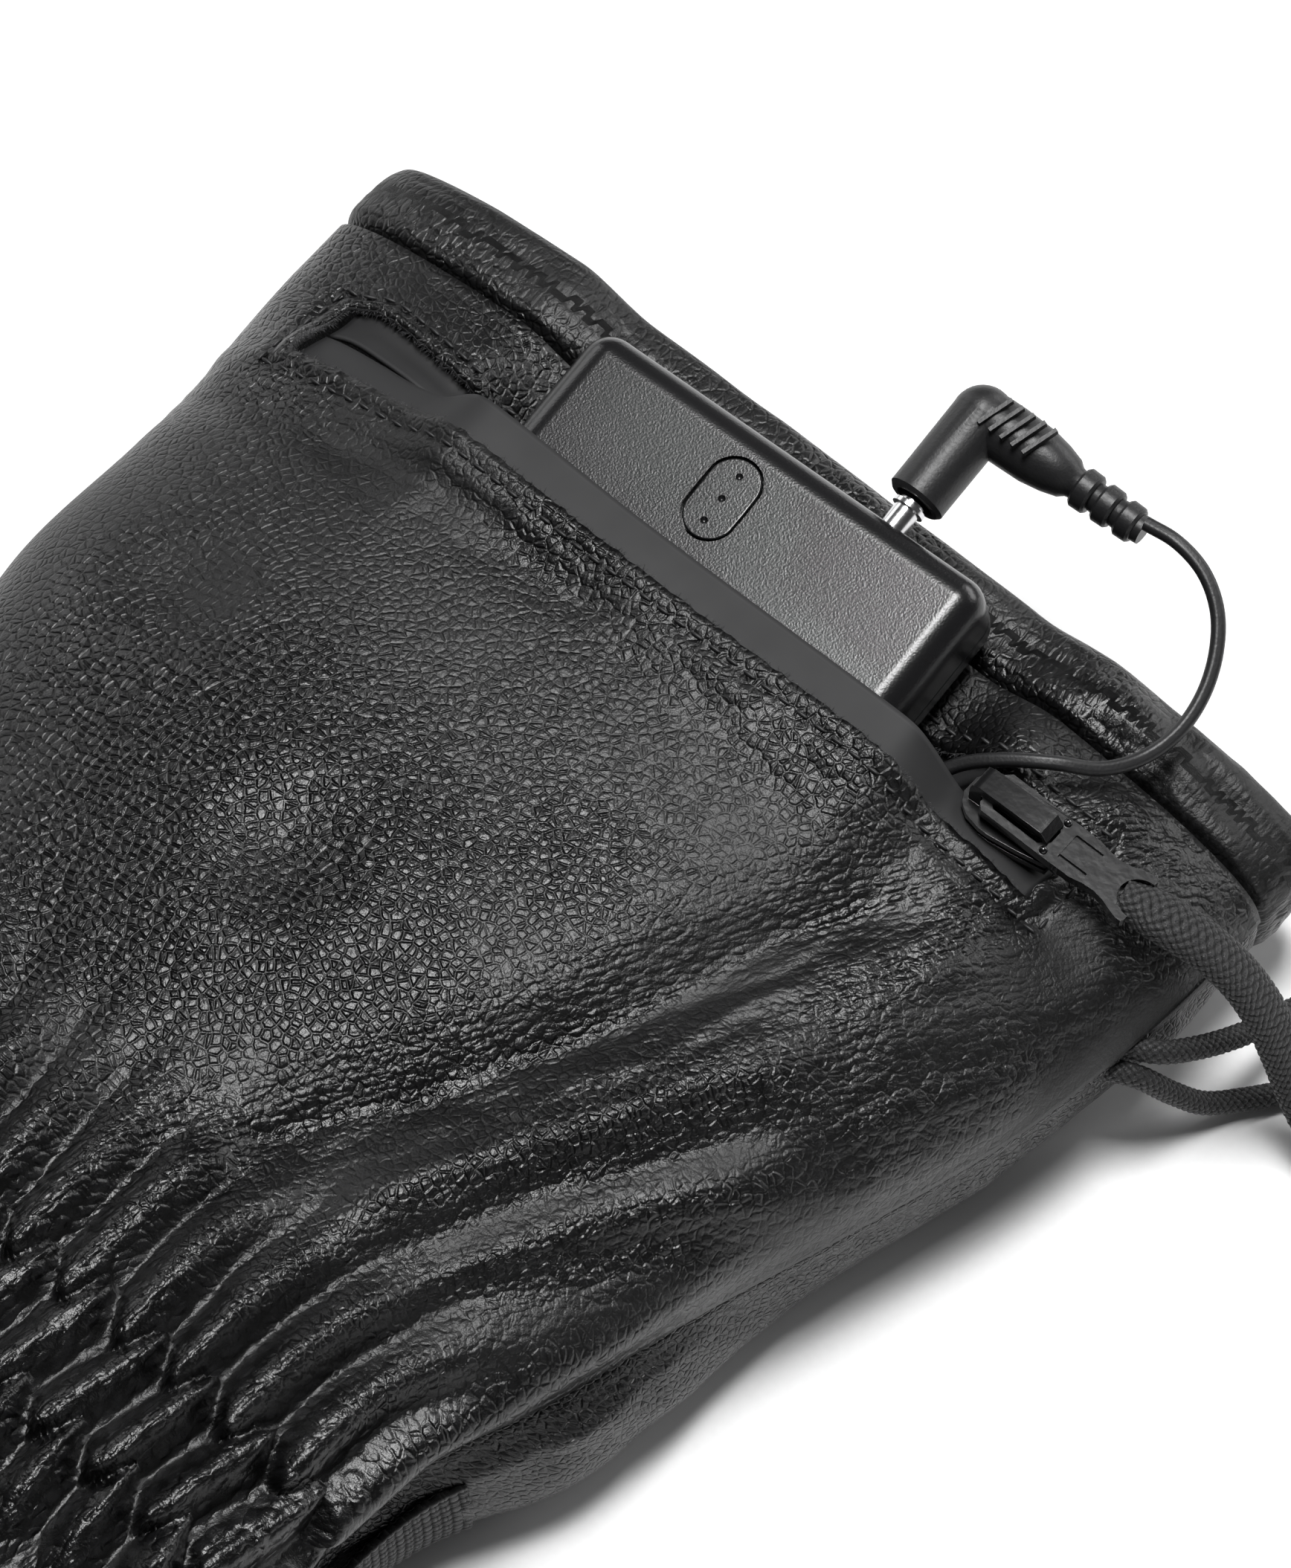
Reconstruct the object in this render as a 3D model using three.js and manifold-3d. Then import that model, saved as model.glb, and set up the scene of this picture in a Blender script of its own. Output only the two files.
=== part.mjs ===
// Heated gauntlet glove of black leather, lying palm down, with the battery half out of its
// cuff pocket. Millimetres, +Z up, fingers towards -Y, cuff opening towards +Y.
// Until the last lines the line of the wrist gathers is y = 0 and the glove's middle is x = 0.
import * as THREE from 'three';
import Module from 'manifold-3d';
import { mergeVertices } from 'three/addons/utils/BufferGeometryUtils.js';
import { RoundedBoxGeometry } from 'three/addons/geometries/RoundedBoxGeometry.js';

const wasm = await Module();
wasm.setup();

// Driving sizes of the glove
const cuffLength = 146;
const cuffWidth = 156;
const cuffHeight = 42;
const wristWidth = 93;
const wristHeight = 42;
const wristLength = 42;
const seamHeight = 20;
const sideBulge = 5;
const wall = 2.4;
const gap = 0.3;
const mouthSlant = 6;
const hemWidth = 12.4;
const hemThickness = 7;
const palmLength = 84;
const palmWidth = 110;
const palmHeight = 30;
const fingerLength = 86;
const fingerWidth = 25.6;
const thumbLength = 80;
const thumbWidth = 29;
const fourchetteWidth = 14;

// Driving sizes of the gathers and folds
const gatherPeriods = 12;
const gatherHeight = 3.2;
const zigzagWidth = 6;
const zigzagSpacing = 14.4;
const firstZigzag = 3.6;
const foldHeight = 3;
const foldWidth = 6;

// Driving sizes of the battery, its pocket and its plug
const batteryWidth = 63.5;
const batteryLength = 48;
const batteryThickness = 14;
const batteryRounding = 4;
const batteryTilt = 13.5;
const batteryOut = 11;
const batteryTop = 45;
const buttonWidth = 7.2;
const buttonLength = 11.8;
const buttonTravel = 0.5;
const buttonDepth = 1.4;
const slotLength = 120;
const slotWidth = 13;
const slotToHem = 24;
const tapeWidth = 8;
const tapeShows = 6;
const tapeThickness = 1;
const bagWall = 0.8;
const bagRoom = 1;
const jackOffset = 14;
const jackRadius = 1.75;
const plugRadius = 4;
const plugReach = 14;
const plugArm = 25.4;
const plugStandoff = 5;

// Driving sizes of the slider, cords and strap. strapHigh, strapLow: its two edges, as shares of
// the way from the left seam round the underside to the right seam.
const sliderLength = 14;
const sliderWidth = 8.4;
const sliderThickness = 2.4;
const bridgeWidth = 3.4;
const bridgeHeight = 4;
const pullerLength = 23;
const pullerWidth = 7;
const pullerThickness = 1.5;
const cordWidth = 6.6;
const cordThickness = 2.8;
const cableDiameter = 1.9;
const sideCordDiameter = 3;
const strapThickness = 1.5;
const strapHigh = 0.982;
const strapLow = 0.86;
const strapStart = 11;
const strapClear = 0.6;

// The cords' routes, chosen by hand in this frame
const cableRoute = [
  [39.9, 154.7, 44.4], [44.5, 155.0, 44.4], [49.3, 154.2, 43.4], [53.4, 151.8, 41.8], [56.4, 148.0, 40],
  [58.4, 143.0, 38.2], [58.9, 137.6, 36.8], [57.6, 132.4, 35.8], [54.8, 127.4, 36.4], [50.0, 123.6, 37.6],
  [44.6, 120.4, 36.6], [40.2, 117.4, 34.4], [37.6, 113.6, 31.8], [36.8, 108.8, 28.6], [35.9, 104.6, 27.2],
];
const zipCordRoute = [
  [70.7, 115.2, 36.5], [74.2, 115.9, 35.8], [78.4, 117.2, 33.4], [82.8, 118.6, 29.2], [86.6, 119.4, 23.8],
  [89.8, 119.7, 17.8], [93.0, 119.6, 12.0], [97.4, 118.8, 7.4], [102.8, 117.6, 4.2], [108.8, 116.2, 2.4],
  [114.6, 114.9, 1.9],
];
const sideCordRoute = [
  [78.4, 106.0, 15.4], [81.6, 109.6, 9.6], [84.4, 113.4, 4.6], [87.4, 118.2, 2.2], [91.6, 123.8, 1.6],
  [97.0, 129.2, 1.6], [102.6, 134.0, 1.6], [106.4, 139.6, 1.6], [105.4, 145.6, 1.6], [100.2, 148.8, 1.6],
  [94.2, 147.4, 1.8], [89.8, 142.4, 3.4], [87.2, 135.6, 5.6], [85.4, 128.4, 8.0], [83.6, 120.6, 11.2],
  [81.2, 113.6, 15.0], [78.8, 109.4, 17.4],
];

// Sections of the cuff. along: share of cuffLength from the gather line. left, right: how far the
// side has opened from half the wrist's width to half the cuff's. low: height of the glove's back
// on the finger side of the slot, a share of the way from wristHeight to cuffHeight. seam: share of
// seamHeight. bulge: share of sideBulge.
const cuffSections = [
  { along: -0.29, left: 0.05, right: 0.03, low: 0.3, seam: 1.2, bulge: 0.1 },
  { along: -0.1, left: 0, right: -0.03, low: 0, seam: 1.25, bulge: 0.1 },
  { along: 0.03, left: 0.07, right: 0, low: 0, seam: 1.25, bulge: 0.5 },
  { along: 0.16, left: 0.33, right: 0.21, low: 0.2, seam: 1.15, bulge: 1.1 },
  { along: 0.31, left: 0.67, right: 0.4, low: 0.5, seam: 1.05, bulge: 1 },
  { along: 0.46, left: 0.88, right: 0.63, low: 0.7, seam: 1, bulge: 0.7 },
  { along: 0.61, left: 0.88, right: 0.845, low: 1, seam: 1, bulge: 0.4 },
  { along: 0.73, left: 0.92, right: 0.94, low: 1, seam: 1, bulge: 0.45 },
  { along: 0.82, left: 0.97, right: 0.98, low: 1, seam: 1, bulge: 0.5 },
  { along: 0.92, left: 1, right: 1, low: 1, seam: 1, bulge: 0.3 },
  { along: 1, left: 1, right: 1, low: 1, seam: 1, bulge: 0.3 },
];

// Folds of the cuff's back. Points are shares of half the cuff's width across and of cuffLength
// along. height and width are shares of foldHeight and foldWidth, and a valley's height is below 0.
const cuffFolds = [
  { points: [[-1, 0.685], [-0.53, 0.703], [-0.27, 0.705], [0.02, 0.7]], height: -0.6, width: 0.6 },
  { points: [[-0.7, 0.74], [-0.1, 0.73], [0.35, 0.71]], height: 0.3, width: 0.6 },
  { points: [[0.66, 0.71], [0.515, 0.573], [0.423, 0.431], [0.313, 0.303], [0.187, 0.188], [0.04, 0.1]],
    height: -1.15, width: 1.1 },
  { points: [[0.3, 0.118], [0.463, 0.308], [0.726, 0.538]], height: 0.9, width: 0.9 },
  { points: [[0.37, 0.098], [0.514, 0.275], [0.735, 0.474]], height: -0.5, width: 0.7 },
  { points: [[0.454, 0.12], [0.62, 0.3], [0.794, 0.474]], height: 0.9, width: 0.8 },
  { points: [[0.44, 0.07], [0.582, 0.232], [0.744, 0.373]], height: -0.6, width: 0.7 },
  { points: [[0.6, 0.1], [0.844, 0.356]], height: 0.7, width: 0.8 },
  { points: [[0.42, 0.334], [0.763, 0.72]], height: 0.35, width: 0.7 },
  { points: [[-0.62, 0.5], [-0.15, 0.36]], height: 0.8, width: 4 },
  { points: [[-0.35, 0.06], [-0.55, 0.24]], height: 0.7, width: 0.8 },
  { points: [[-0.48, 0.06], [-0.72, 0.26]], height: -0.5, width: 0.8 },
  { points: [[0.64, 0.88], [0.84, 0.84]], height: 1.3, width: 1.4 },
  { points: [[0.66, 0.76], [0.95, 0.73]], height: -1.1, width: 1.6 },
];

// The pocket slot from its left end to its right. across: share of slotLength from the glove's
// middle. edge: height of the lower edge above the slot's line, and open: share of slotWidth.
const slotTable = [
  { across: -0.535, edge: 0.02, open: 0.94 },
  { across: -0.3, edge: 0.06, open: 1 },
  { across: -0.06, edge: 0, open: 1 },
  { across: 0.25, edge: 0, open: 1 },
  { across: 0.49, edge: 0, open: 0.9 },
];

// Sections of the hand. along: share of palmLength from the cuff's front edge. left, right: shares
// of half the palm's width. top: share of palmHeight. base: share of palmHeight that the underside
// lies above the floor.
const palmSections = [
  { along: 0.22, left: 0.93, right: 0.9, top: 1.33, base: 0 },
  { along: 0.5, left: 0.99, right: 0.96, top: 1.18, base: 0 },
  { along: 0.78, left: 1, right: 0.98, top: 1.05, base: 0 },
  { along: 0.94, left: 0.98, right: 0.94, top: 0.97, base: 0.02 },
  { along: 1.02, left: 0.88, right: 0.82, top: 0.84, base: 0.18 },
];

// Height of the seam round the hand, as a share of palmHeight, by share of the hand's length
const handSeam = [
  { along: 0, height: 0.8 },
  { along: 0.2, height: 0.66 },
  { along: 0.5, height: 0.585 },
  { along: 0.8, height: 0.52 },
  { along: 1, height: 0.4 },
];

// Fingers. across: share of half the palm's width. root: share of palmLength. length: share of
// fingerLength. size: share of fingerWidth. splay: degrees from straight, towards +X.
const fingers = [
  { across: -0.71, root: 0.92, length: 0.9, size: 1, splay: -4 },
  { across: -0.235, root: 0.97, length: 1, size: 1, splay: -1 },
  { across: 0.235, root: 0.94, length: 0.92, size: 0.98, splay: 3 },
  { across: 0.69, root: 0.84, length: 0.74, size: 0.9, splay: 8 },
];

// Thickness along a finger or the thumb, from inside the palm to the tip
const fingerSections = [
  { along: -0.16, size: 0.96 },
  { along: 0.35, size: 1 },
  { along: 0.72, size: 0.95 },
  { along: 0.92, size: 0.74 },
  { along: 1, size: 0.3 },
];

// Number helpers
const radians = THREE.MathUtils.degToRad;
const lerp = THREE.MathUtils.lerp;
const clamp = THREE.MathUtils.clamp;
const smoothstep = (value, low, high) => THREE.MathUtils.smoothstep(value, low, high);

// Smooth curve through one column of a table, level beyond its ends
function column(table, at, key, place = 'along') {
  const last = table.length - 1;
  if (at <= table[0][place]) return table[0][key];
  if (at >= table[last][place]) return table[last][key];
  const i = table.findIndex((row, n) => n > 0 && at <= row[place]) - 1;
  const a = table[i];
  const b = table[i + 1];
  const before = table[Math.max(i - 1, 0)];
  const after = table[Math.min(i + 2, last)];
  const span = b[place] - a[place];
  const t = (at - a[place]) / span;
  const slopeA = span * (b[key] - before[key]) / Math.max(b[place] - before[place], span);
  const slopeB = span * (after[key] - a[key]) / Math.max(after[place] - a[place], span);
  const t2 = t * t;
  const t3 = t2 * t;
  return (2 * t3 - 3 * t2 + 1) * a[key] + (t3 - 2 * t2 + t) * slopeA
    + (3 * t2 - 2 * t3) * b[key] + (t3 - t2) * slopeB;
}

// Distance of a point to a polyline
function distanceTo(points, x, y) {
  let nearest = Infinity;
  for (let i = 0; i + 1 < points.length; i += 1) {
    const [ax, ay] = points[i];
    const [bx, by] = points[i + 1];
    const length2 = (bx - ax) ** 2 + (by - ay) ** 2;
    const t = clamp(((x - ax) * (bx - ax) + (y - ay) * (by - ay)) / length2, 0, 1);
    nearest = Math.min(nearest, Math.hypot(x - lerp(ax, bx, t), y - lerp(ay, by, t)));
  }
  return nearest;
}

// Meshes from points

// Closed geometry from triangles of points, turned so that its faces point out
function closedGeometry(triangles) {
  const coordinates = new Float32Array(triangles.length * 9);
  triangles.forEach((triangle, n) => {
    triangle.forEach((point, corner) => point.toArray(coordinates, n * 9 + corner * 3));
  });
  let volume = 0;
  const cross = new THREE.Vector3();
  for (const [a, b, c] of triangles) volume += a.dot(cross.crossVectors(b, c));
  const geometry = new THREE.BufferGeometry();
  geometry.setAttribute('position', new THREE.BufferAttribute(coordinates, 3));
  const merged = mergeVertices(geometry, 1e-4);
  if (volume < 0) {
    const index = merged.index.array;
    for (let i = 0; i < index.length; i += 3) [index[i], index[i + 1]] = [index[i + 1], index[i]];
  }
  return merged;
}

// Cell between four points, split along the diagonal that lies nearer to the surface
function splitCell(triangles, p00, p10, p11, p01, middle) {
  const first = p00.clone().add(p11).multiplyScalar(0.5).distanceTo(middle);
  const second = p10.clone().add(p01).multiplyScalar(0.5).distanceTo(middle);
  if (first <= second) triangles.push([p00, p10, p11], [p00, p11, p01]);
  else triangles.push([p00, p10, p01], [p10, p11, p01]);
}

// Wall between an outer face and an inner face of one coarser step, both functions of a column
// and a row that may be fractions
function wallSheet(columns, rows, outer, inner, step = 2) {
  const triangles = [];
  const grid = [];
  for (let i = 0; i <= columns; i += 1) {
    grid.push(Array.from({ length: rows + 1 }, (_, j) => outer(i, j)));
  }
  for (let i = 0; i < columns; i += 1) {
    for (let j = 0; j < rows; j += 1) {
      splitCell(triangles, grid[i][j], grid[i + 1][j], grid[i + 1][j + 1], grid[i][j + 1],
        outer(i + 0.5, j + 0.5));
    }
  }
  const back = [];
  for (let i = 0; i <= columns; i += step) {
    back.push(Array.from({ length: rows / step + 1 }, (_, j) => inner(i, j * step)));
  }
  for (let i = 0; i + 1 < back.length; i += 1) {
    for (let j = 0; j < rows / step; j += 1) {
      splitCell(triangles, back[i][j + 1], back[i + 1][j + 1], back[i + 1][j], back[i][j],
        inner((i + 0.5) * step, (j + 0.5) * step));
    }
  }
  const rim = (count, outerAt, innerAt, flip) => {
    for (let n = 0; n < count; n += step) {
      const a = innerAt(n / step);
      const b = innerAt(n / step + 1);
      const half = n + Math.floor(step / 2);
      const push = (p, q, r) => triangles.push(flip ? [p, r, q] : [p, q, r]);
      for (let m = n; m < n + step; m += 1) {
        push(outerAt(m + 1), outerAt(m), m < half ? a : b);
      }
      push(outerAt(half), a, b);
    }
  };
  rim(columns, (n) => grid[n][0], (n) => back[n][0], false);
  rim(columns, (n) => grid[n][rows], (n) => back[n][rows / step], true);
  rim(rows, (n) => grid[0][n], (n) => back[0][n], true);
  rim(rows, (n) => grid[columns][n], (n) => back[columns / step][n], false);
  return closedGeometry(triangles);
}

// Solid through rings of points, capped at both ends, or closed on itself
function loft(rings, loop = false) {
  const triangles = [];
  const count = rings[0].length;
  const spans = loop ? rings.length : rings.length - 1;
  for (let i = 0; i < spans; i += 1) {
    const a = rings[i];
    const b = rings[(i + 1) % rings.length];
    for (let k = 0; k < count; k += 1) {
      const next = (k + 1) % count;
      triangles.push([a[k], a[next], b[next]], [a[k], b[next], b[k]]);
    }
  }
  if (!loop) {
    [rings[0], rings.at(-1)].forEach((ring, end) => {
      const centre = ring.reduce((sum, p) => sum.add(p), new THREE.Vector3()).divideScalar(count);
      for (let k = 0; k < count; k += 1) {
        const next = ring[(k + 1) % count];
        triangles.push(end ? [centre, ring[k], next] : [centre, next, ring[k]]);
      }
    });
  }
  return closedGeometry(triangles);
}

// Solid geometry to a boolean solid and back
function solid(geometry) {
  const bare = geometry.clone();
  bare.deleteAttribute('normal');
  bare.deleteAttribute('uv');
  const merged = mergeVertices(bare, 1e-4);
  return new wasm.Manifold(new wasm.Mesh({
    numProp: 3,
    vertProperties: merged.attributes.position.array,
    triVerts: new Uint32Array(merged.index.array),
  }));
}

function geometryOf(shape) {
  const mesh = shape.getMesh();
  const geometry = new THREE.BufferGeometry();
  geometry.setAttribute('position', new THREE.BufferAttribute(mesh.vertProperties.slice(), 3));
  geometry.setIndex(new THREE.BufferAttribute(mesh.triVerts.slice(), 1));
  return geometry;
}

// Plate of an outline of [x, y] pairs, from z = 0 up
function plate(outline, height) {
  const shape = new THREE.Shape(outline.map(([x, y]) => new THREE.Vector2(x, y)));
  return new THREE.ExtrudeGeometry(shape, { depth: height, bevelEnabled: false });
}

// Block of an outline of [y, z] pairs, from one x to another
function sidePlate(outline, from, to) {
  const geometry = plate(outline, to - from);
  geometry.applyMatrix4(new THREE.Matrix4().set(0, 0, 1, from, 1, 0, 0, 0, 0, 1, 0, 0, 0, 0, 0, 1));
  return geometry;
}

// Battery's own planes, which the leather above and below it follows
const tilt = radians(batteryTilt);
const halfCuff = cuffWidth / 2;
const halfWrist = wristWidth / 2;
const hemSeam = cuffLength - hemWidth;
const batteryFar = cuffLength - batteryOut;
const batteryTopAt = (y) => batteryTop + (y - batteryFar) * Math.tan(tilt);
const batteryBottomAt = (y) => batteryTopAt(y) - batteryThickness / Math.cos(tilt);
const bagProud = bagWall + bagRoom;
const slotLine = hemSeam - slotToHem;
const deckRun = 22;
const stripRise = 0.6;
const slotLow = (x) => slotLine + slotWidth * column(slotTable, x / slotLength, 'edge', 'across');
const slotHigh = (x) => slotLow(x) + slotWidth * column(slotTable, x / slotLength, 'open', 'across');
const slotLeft = slotTable[0].across * slotLength;
const slotRight = slotTable.at(-1).across * slotLength;

// Sides, seam and floor line of the glove at a place along it
function cuffSides(y) {
  const along = y / cuffLength;
  return {
    left: -lerp(halfWrist, halfCuff, column(cuffSections, along, 'left')),
    right: lerp(halfWrist, halfCuff, column(cuffSections, along, 'right')),
    seam: seamHeight * column(cuffSections, along, 'seam'),
    bulge: sideBulge * column(cuffSections, along, 'bulge'),
  };
}

// Crown of the back across the glove: 1 in the middle, 0 at the side seams
const crownPower = 2.4;
const crown = (t) => Math.max(1 - Math.abs(t) ** crownPower, 0) ** (1 / crownPower);

// Height of the back on the finger side of the slot, which rides over the battery
function lowHeight(x, y, sides) {
  const top = lerp(wristHeight, cuffHeight, column(cuffSections, y / cuffLength, 'low'));
  const t = (x - (sides.left + sides.right) / 2) / ((sides.right - sides.left) / 2);
  const dome = sides.seam + (top - sides.seam) * crown(t);
  const beyond = Math.max(Math.abs(x) - batteryWidth / 2 - bagProud, 0);
  const deckReach = smoothstep(y, batteryFar - batteryLength - deckRun, batteryFar - batteryLength);
  const deck = batteryTopAt(y) + bagProud + gap * 2 + wall - 0.06 * beyond ** 2 - 30 * (1 - deckReach);
  const blend = 1.2 * (1 - smoothstep(Math.abs(t), 0.8, 1));
  return (dome + deck + Math.hypot(dome - deck, blend)) / 2;
}

// Height of the strip between the slot and the hem, which the battery lies on
function stripHeight(x, y, sides) {
  const pressed = batteryBottomAt(Math.min(y, hemSeam)) - 2 * gap;
  const beside = smoothstep(Math.abs(x), batteryWidth / 2 + 1, batteryWidth / 2 + 14);
  const rise = stripRise * beside * (1 - 0.5 * smoothstep(y, slotHigh(x), hemSeam));
  const t = (x - (sides.left + sides.right) / 2) / ((sides.right - sides.left) / 2);
  return sides.seam + (lerp(pressed, cuffHeight, rise) - sides.seam) * crown(t);
}

function backHeight(x, y, sides) {
  const beyondSlot = Math.max(slotLeft - x, x - slotRight, 0);
  const ease = Math.min(beyondSlot, 9);
  const share = smoothstep(y, slotLow(x) + 1.5 - ease, slotHigh(x) - 1 + ease);
  return lerp(lowHeight(x, y, sides), stripHeight(x, y, sides), share);
}

// Folds, in millimetres above the plain surface
function foldRelief(x, y) {
  let relief = 0;
  for (const fold of cuffFolds) {
    const points = fold.points.map(([across, along]) => [across * halfCuff, along * cuffLength]);
    const share = distanceTo(points, x, y) / (fold.width * foldWidth);
    relief += fold.height * foldHeight * Math.exp(-share * share);
  }
  return relief * smoothstep(hemSeam - y, 0, 5);
}

// Gathers at the wrist: puffs between two zigzag rows of elastic stitching. phase counts periods.
function zigzagLine(phase, row) {
  const wave = Math.abs(((phase % 1) + 1) % 1 - 0.5) * 2;
  return -firstZigzag - row * zigzagSpacing - zigzagWidth * (1 - wave);
}

function gatherRelief(phase, y) {
  const upper = zigzagLine(phase, 0);
  const lower = zigzagLine(phase, 1);
  const nearest = Math.min(Math.abs(y - upper), Math.abs(y - lower));
  const pinch = 1 - Math.exp(-((nearest / 2) ** 2));
  const bottom = firstZigzag + zigzagSpacing + zigzagWidth;
  const drift = y > upper ? 0.5 : -0.5 * clamp((-firstZigzag - y) / (bottom - firstZigzag), 0, 1);
  const ridge = Math.cos(Math.PI * (phase - (y < lower ? 0 : drift))) ** 2;
  const fade = smoothstep(y, -wristLength, -bottom - 2) * (1 - smoothstep(y, 0, cuffLength * 0.18));
  return gatherHeight * pinch * ridge * fade;
}

// Slant of the cuff's mouth, which shifts points along the glove near it
const slant = (x, y) => -mouthSlant * (x / cuffWidth) * clamp(y / cuffLength, 0, 1) ** 2;

// Points across the back at one place along it, at equal steps along the curve
const sectionCache = new Map();
function backSection(y) {
  if (sectionCache.has(y)) return sectionCache.get(y);
  const sides = cuffSides(y);
  const count = 80;
  const points = [];
  for (let i = 0; i <= count; i += 1) {
    const angle = Math.PI * (1 - i / count);
    const t = Math.sign(Math.cos(angle)) * Math.abs(Math.cos(angle)) ** (2 / crownPower);
    const x = lerp(sides.left, sides.right, (t + 1) / 2);
    points.push(new THREE.Vector3(x, y, backHeight(x, y, sides)));
  }
  const lengths = [0];
  for (let i = 1; i <= count; i += 1) lengths.push(lengths[i - 1] + points[i].distanceTo(points[i - 1]));
  const section = { points, lengths };
  sectionCache.set(y, section);
  return section;
}

// Point of the back at share u across and y along, with its outward normal in the section's plane
function backPoint(u, y) {
  const { points, lengths } = backSection(y);
  const target = clamp(u, 0, 1) * lengths.at(-1);
  let i = 1;
  while (i < lengths.length - 1 && lengths[i] < target) i += 1;
  const t = (target - lengths[i - 1]) / (lengths[i] - lengths[i - 1]);
  const point = points[i - 1].clone().lerp(points[i], t);
  const low = points[Math.max(i - 3, 0)];
  const high = points[Math.min(i + 2, points.length - 1)];
  const level = smoothstep(Math.min(u, 1 - u), 0, 0.04);
  const normal = new THREE.Vector3(-(high.z - low.z), 0, (high.x - low.x) * level).normalize();
  return { point, normal };
}

// Rows of points along the back: on the zigzags' ends and middles, then evenly to the hem
const zigzagRows = [1, 0].flatMap((row) => [1, 0.5, 0].map(
  (share) => -firstZigzag - row * zigzagSpacing - share * zigzagWidth));
const frontRows = [-wristLength, -wristLength + 5.2, -wristLength + 10.4, -wristLength + 14.6];
const betweenRow = -firstZigzag - zigzagSpacing + (zigzagSpacing - zigzagWidth) / 2;
const backRows = [...frontRows, ...zigzagRows.slice(0, 3), betweenRow, ...zigzagRows.slice(3), 0.5, 5.5];
// The inner face uses every second row, so those rows lie at the slot's two edges
const rowsBetween = (low, high, count) => Array.from({ length: count },
  (_, i) => lerp(low, high, i / (count - 1)));
backRows.push(
  ...rowsBetween(10.5, slotLine - 4.5, 15),
  slotLine + 1, slotLine + slotWidth / 2, slotLine + slotWidth - 1,
  ...rowsBetween(slotLine + slotWidth + 2.4, hemSeam - gap, 4),
);
const rowAt = (j) => {
  const low = Math.min(Math.floor(j), backRows.length - 2);
  return lerp(backRows[low], backRows[low + 1], j - low);
};
const backColumns = gatherPeriods * 4;

function backFace(i, j, depth) {
  const u = i / backColumns;
  const y = rowAt(j);
  const { point, normal } = backPoint(u, y);
  const edge = smoothstep(Math.min(u, 1 - u), 0, 0.06);
  let out = foldRelief(point.x, y) * edge - depth;
  if (depth === 0) out += gatherRelief(u * gatherPeriods, y) * smoothstep(Math.min(u, 1 - u), 0, 0.03);
  point.addScaledVector(normal, out);
  point.y += slant(point.x, y);
  return point;
}

const slotCount = 24;
const slotOutline = [];
for (let i = 0; i <= slotCount; i += 1) {
  const x = lerp(slotLeft, slotRight, i / slotCount);
  slotOutline.push([x, slotLow(x) + slant(x, slotLow(x))]);
}
for (let i = slotCount; i >= 0; i -= 1) {
  const x = lerp(slotLeft, slotRight, i / slotCount);
  slotOutline.push([x, slotHigh(x) + slant(x, slotHigh(x))]);
}

function backSheet(depth) {
  return solid(wallSheet(backColumns, backRows.length - 1,
    (i, j) => backFace(i, j, 0), (i, j) => backFace(i, j, depth)));
}

function cutSlot(sheet) {
  const cutter = plate(slotOutline, cuffHeight);
  cutter.translate(0, 0, seamHeight - wall);
  return sheet.subtract(solid(cutter));
}

// Point of the glove's underside at share v from its left seam to its right one
const underPower = 3.6;
function underPoint(v, y, inset, sides) {
  const angle = Math.PI * v;
  const reach = Math.sin(angle) ** (2 / underPower);
  const side = Math.sign(-Math.cos(angle)) * Math.abs(Math.cos(angle)) ** (2 / underPower);
  const bulge = sides.bulge * Math.min(Math.sin(angle) * 2.5, 1);
  const middle = (sides.left + sides.right) / 2;
  const half = (sides.right - sides.left) / 2 + bulge - inset;
  const top = sides.seam - gap;
  const z = Math.max(top - (top - inset) * Math.min(reach * 1.05, 1), inset);
  const x = middle + side * half;
  return new THREE.Vector3(x, y + slant(x, y), z);
}

function makeCuffPalm() {
  const columns = 20;
  const rows = 14;
  const place = (j) => lerp(-wristLength, hemSeam - gap, j / rows);
  const face = (inset) => (i, j) => underPoint(1 - i / columns, place(j), inset, cuffSides(place(j)));
  return wallSheet(columns, rows, face(0), face(wall));
}

// Whole outline of the glove's section, evenly spaced, as [x, z] pairs
function sectionOutline(y, count) {
  const { points } = backSection(y);
  const sides = cuffSides(y);
  const under = [];
  for (let i = 1; i < 60; i += 1) {
    const p = underPoint(1 - i / 60, y, 0, sides);
    under.push(new THREE.Vector3(p.x, y, p.z));
  }
  const curve = [...points, ...under, points[0]];
  const lengths = [0];
  for (let i = 1; i < curve.length; i += 1) lengths.push(lengths[i - 1] + curve[i].distanceTo(curve[i - 1]));
  return Array.from({ length: count }, (_, n) => {
    const target = lengths.at(-1) * n / count;
    const i = Math.max(lengths.findIndex((length) => length > target), 1);
    const t = (target - lengths[i - 1]) / (lengths[i] - lengths[i - 1]);
    const p = curve[i - 1].clone().lerp(curve[i], t);
    return [p.x, p.z];
  });
}

// Padded hem round the mouth
function makeHem() {
  const stations = 36;
  const outline = sectionOutline(hemSeam - gap, stations);
  const proud = 0.6;
  const sides = 8;
  const rings = outline.map(([x, z], n) => {
    const [px, pz] = outline[(n + stations - 1) % stations];
    const [nx, nz] = outline[(n + 1) % stations];
    const normal = new THREE.Vector2(-(nz - pz), nx - px).normalize();
    return Array.from({ length: sides }, (_, k) => {
      const angle = 2 * Math.PI * k / sides;
      const power = 2 / 2.5;
      const along = Math.sign(Math.sin(angle)) * Math.abs(Math.sin(angle)) ** power;
      const out = Math.sign(Math.cos(angle)) * Math.abs(Math.cos(angle)) ** power;
      const depth = proud - hemThickness / 2 + out * hemThickness / 2;
      const xAt = x + normal.x * depth;
      const y = hemSeam + hemWidth / 2 + along * hemWidth / 2;
      return new THREE.Vector3(xAt, y + slant(xAt, y), Math.max(z + normal.y * depth, 0));
    });
  });
  return loft(rings, true);
}

// Hand

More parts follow.
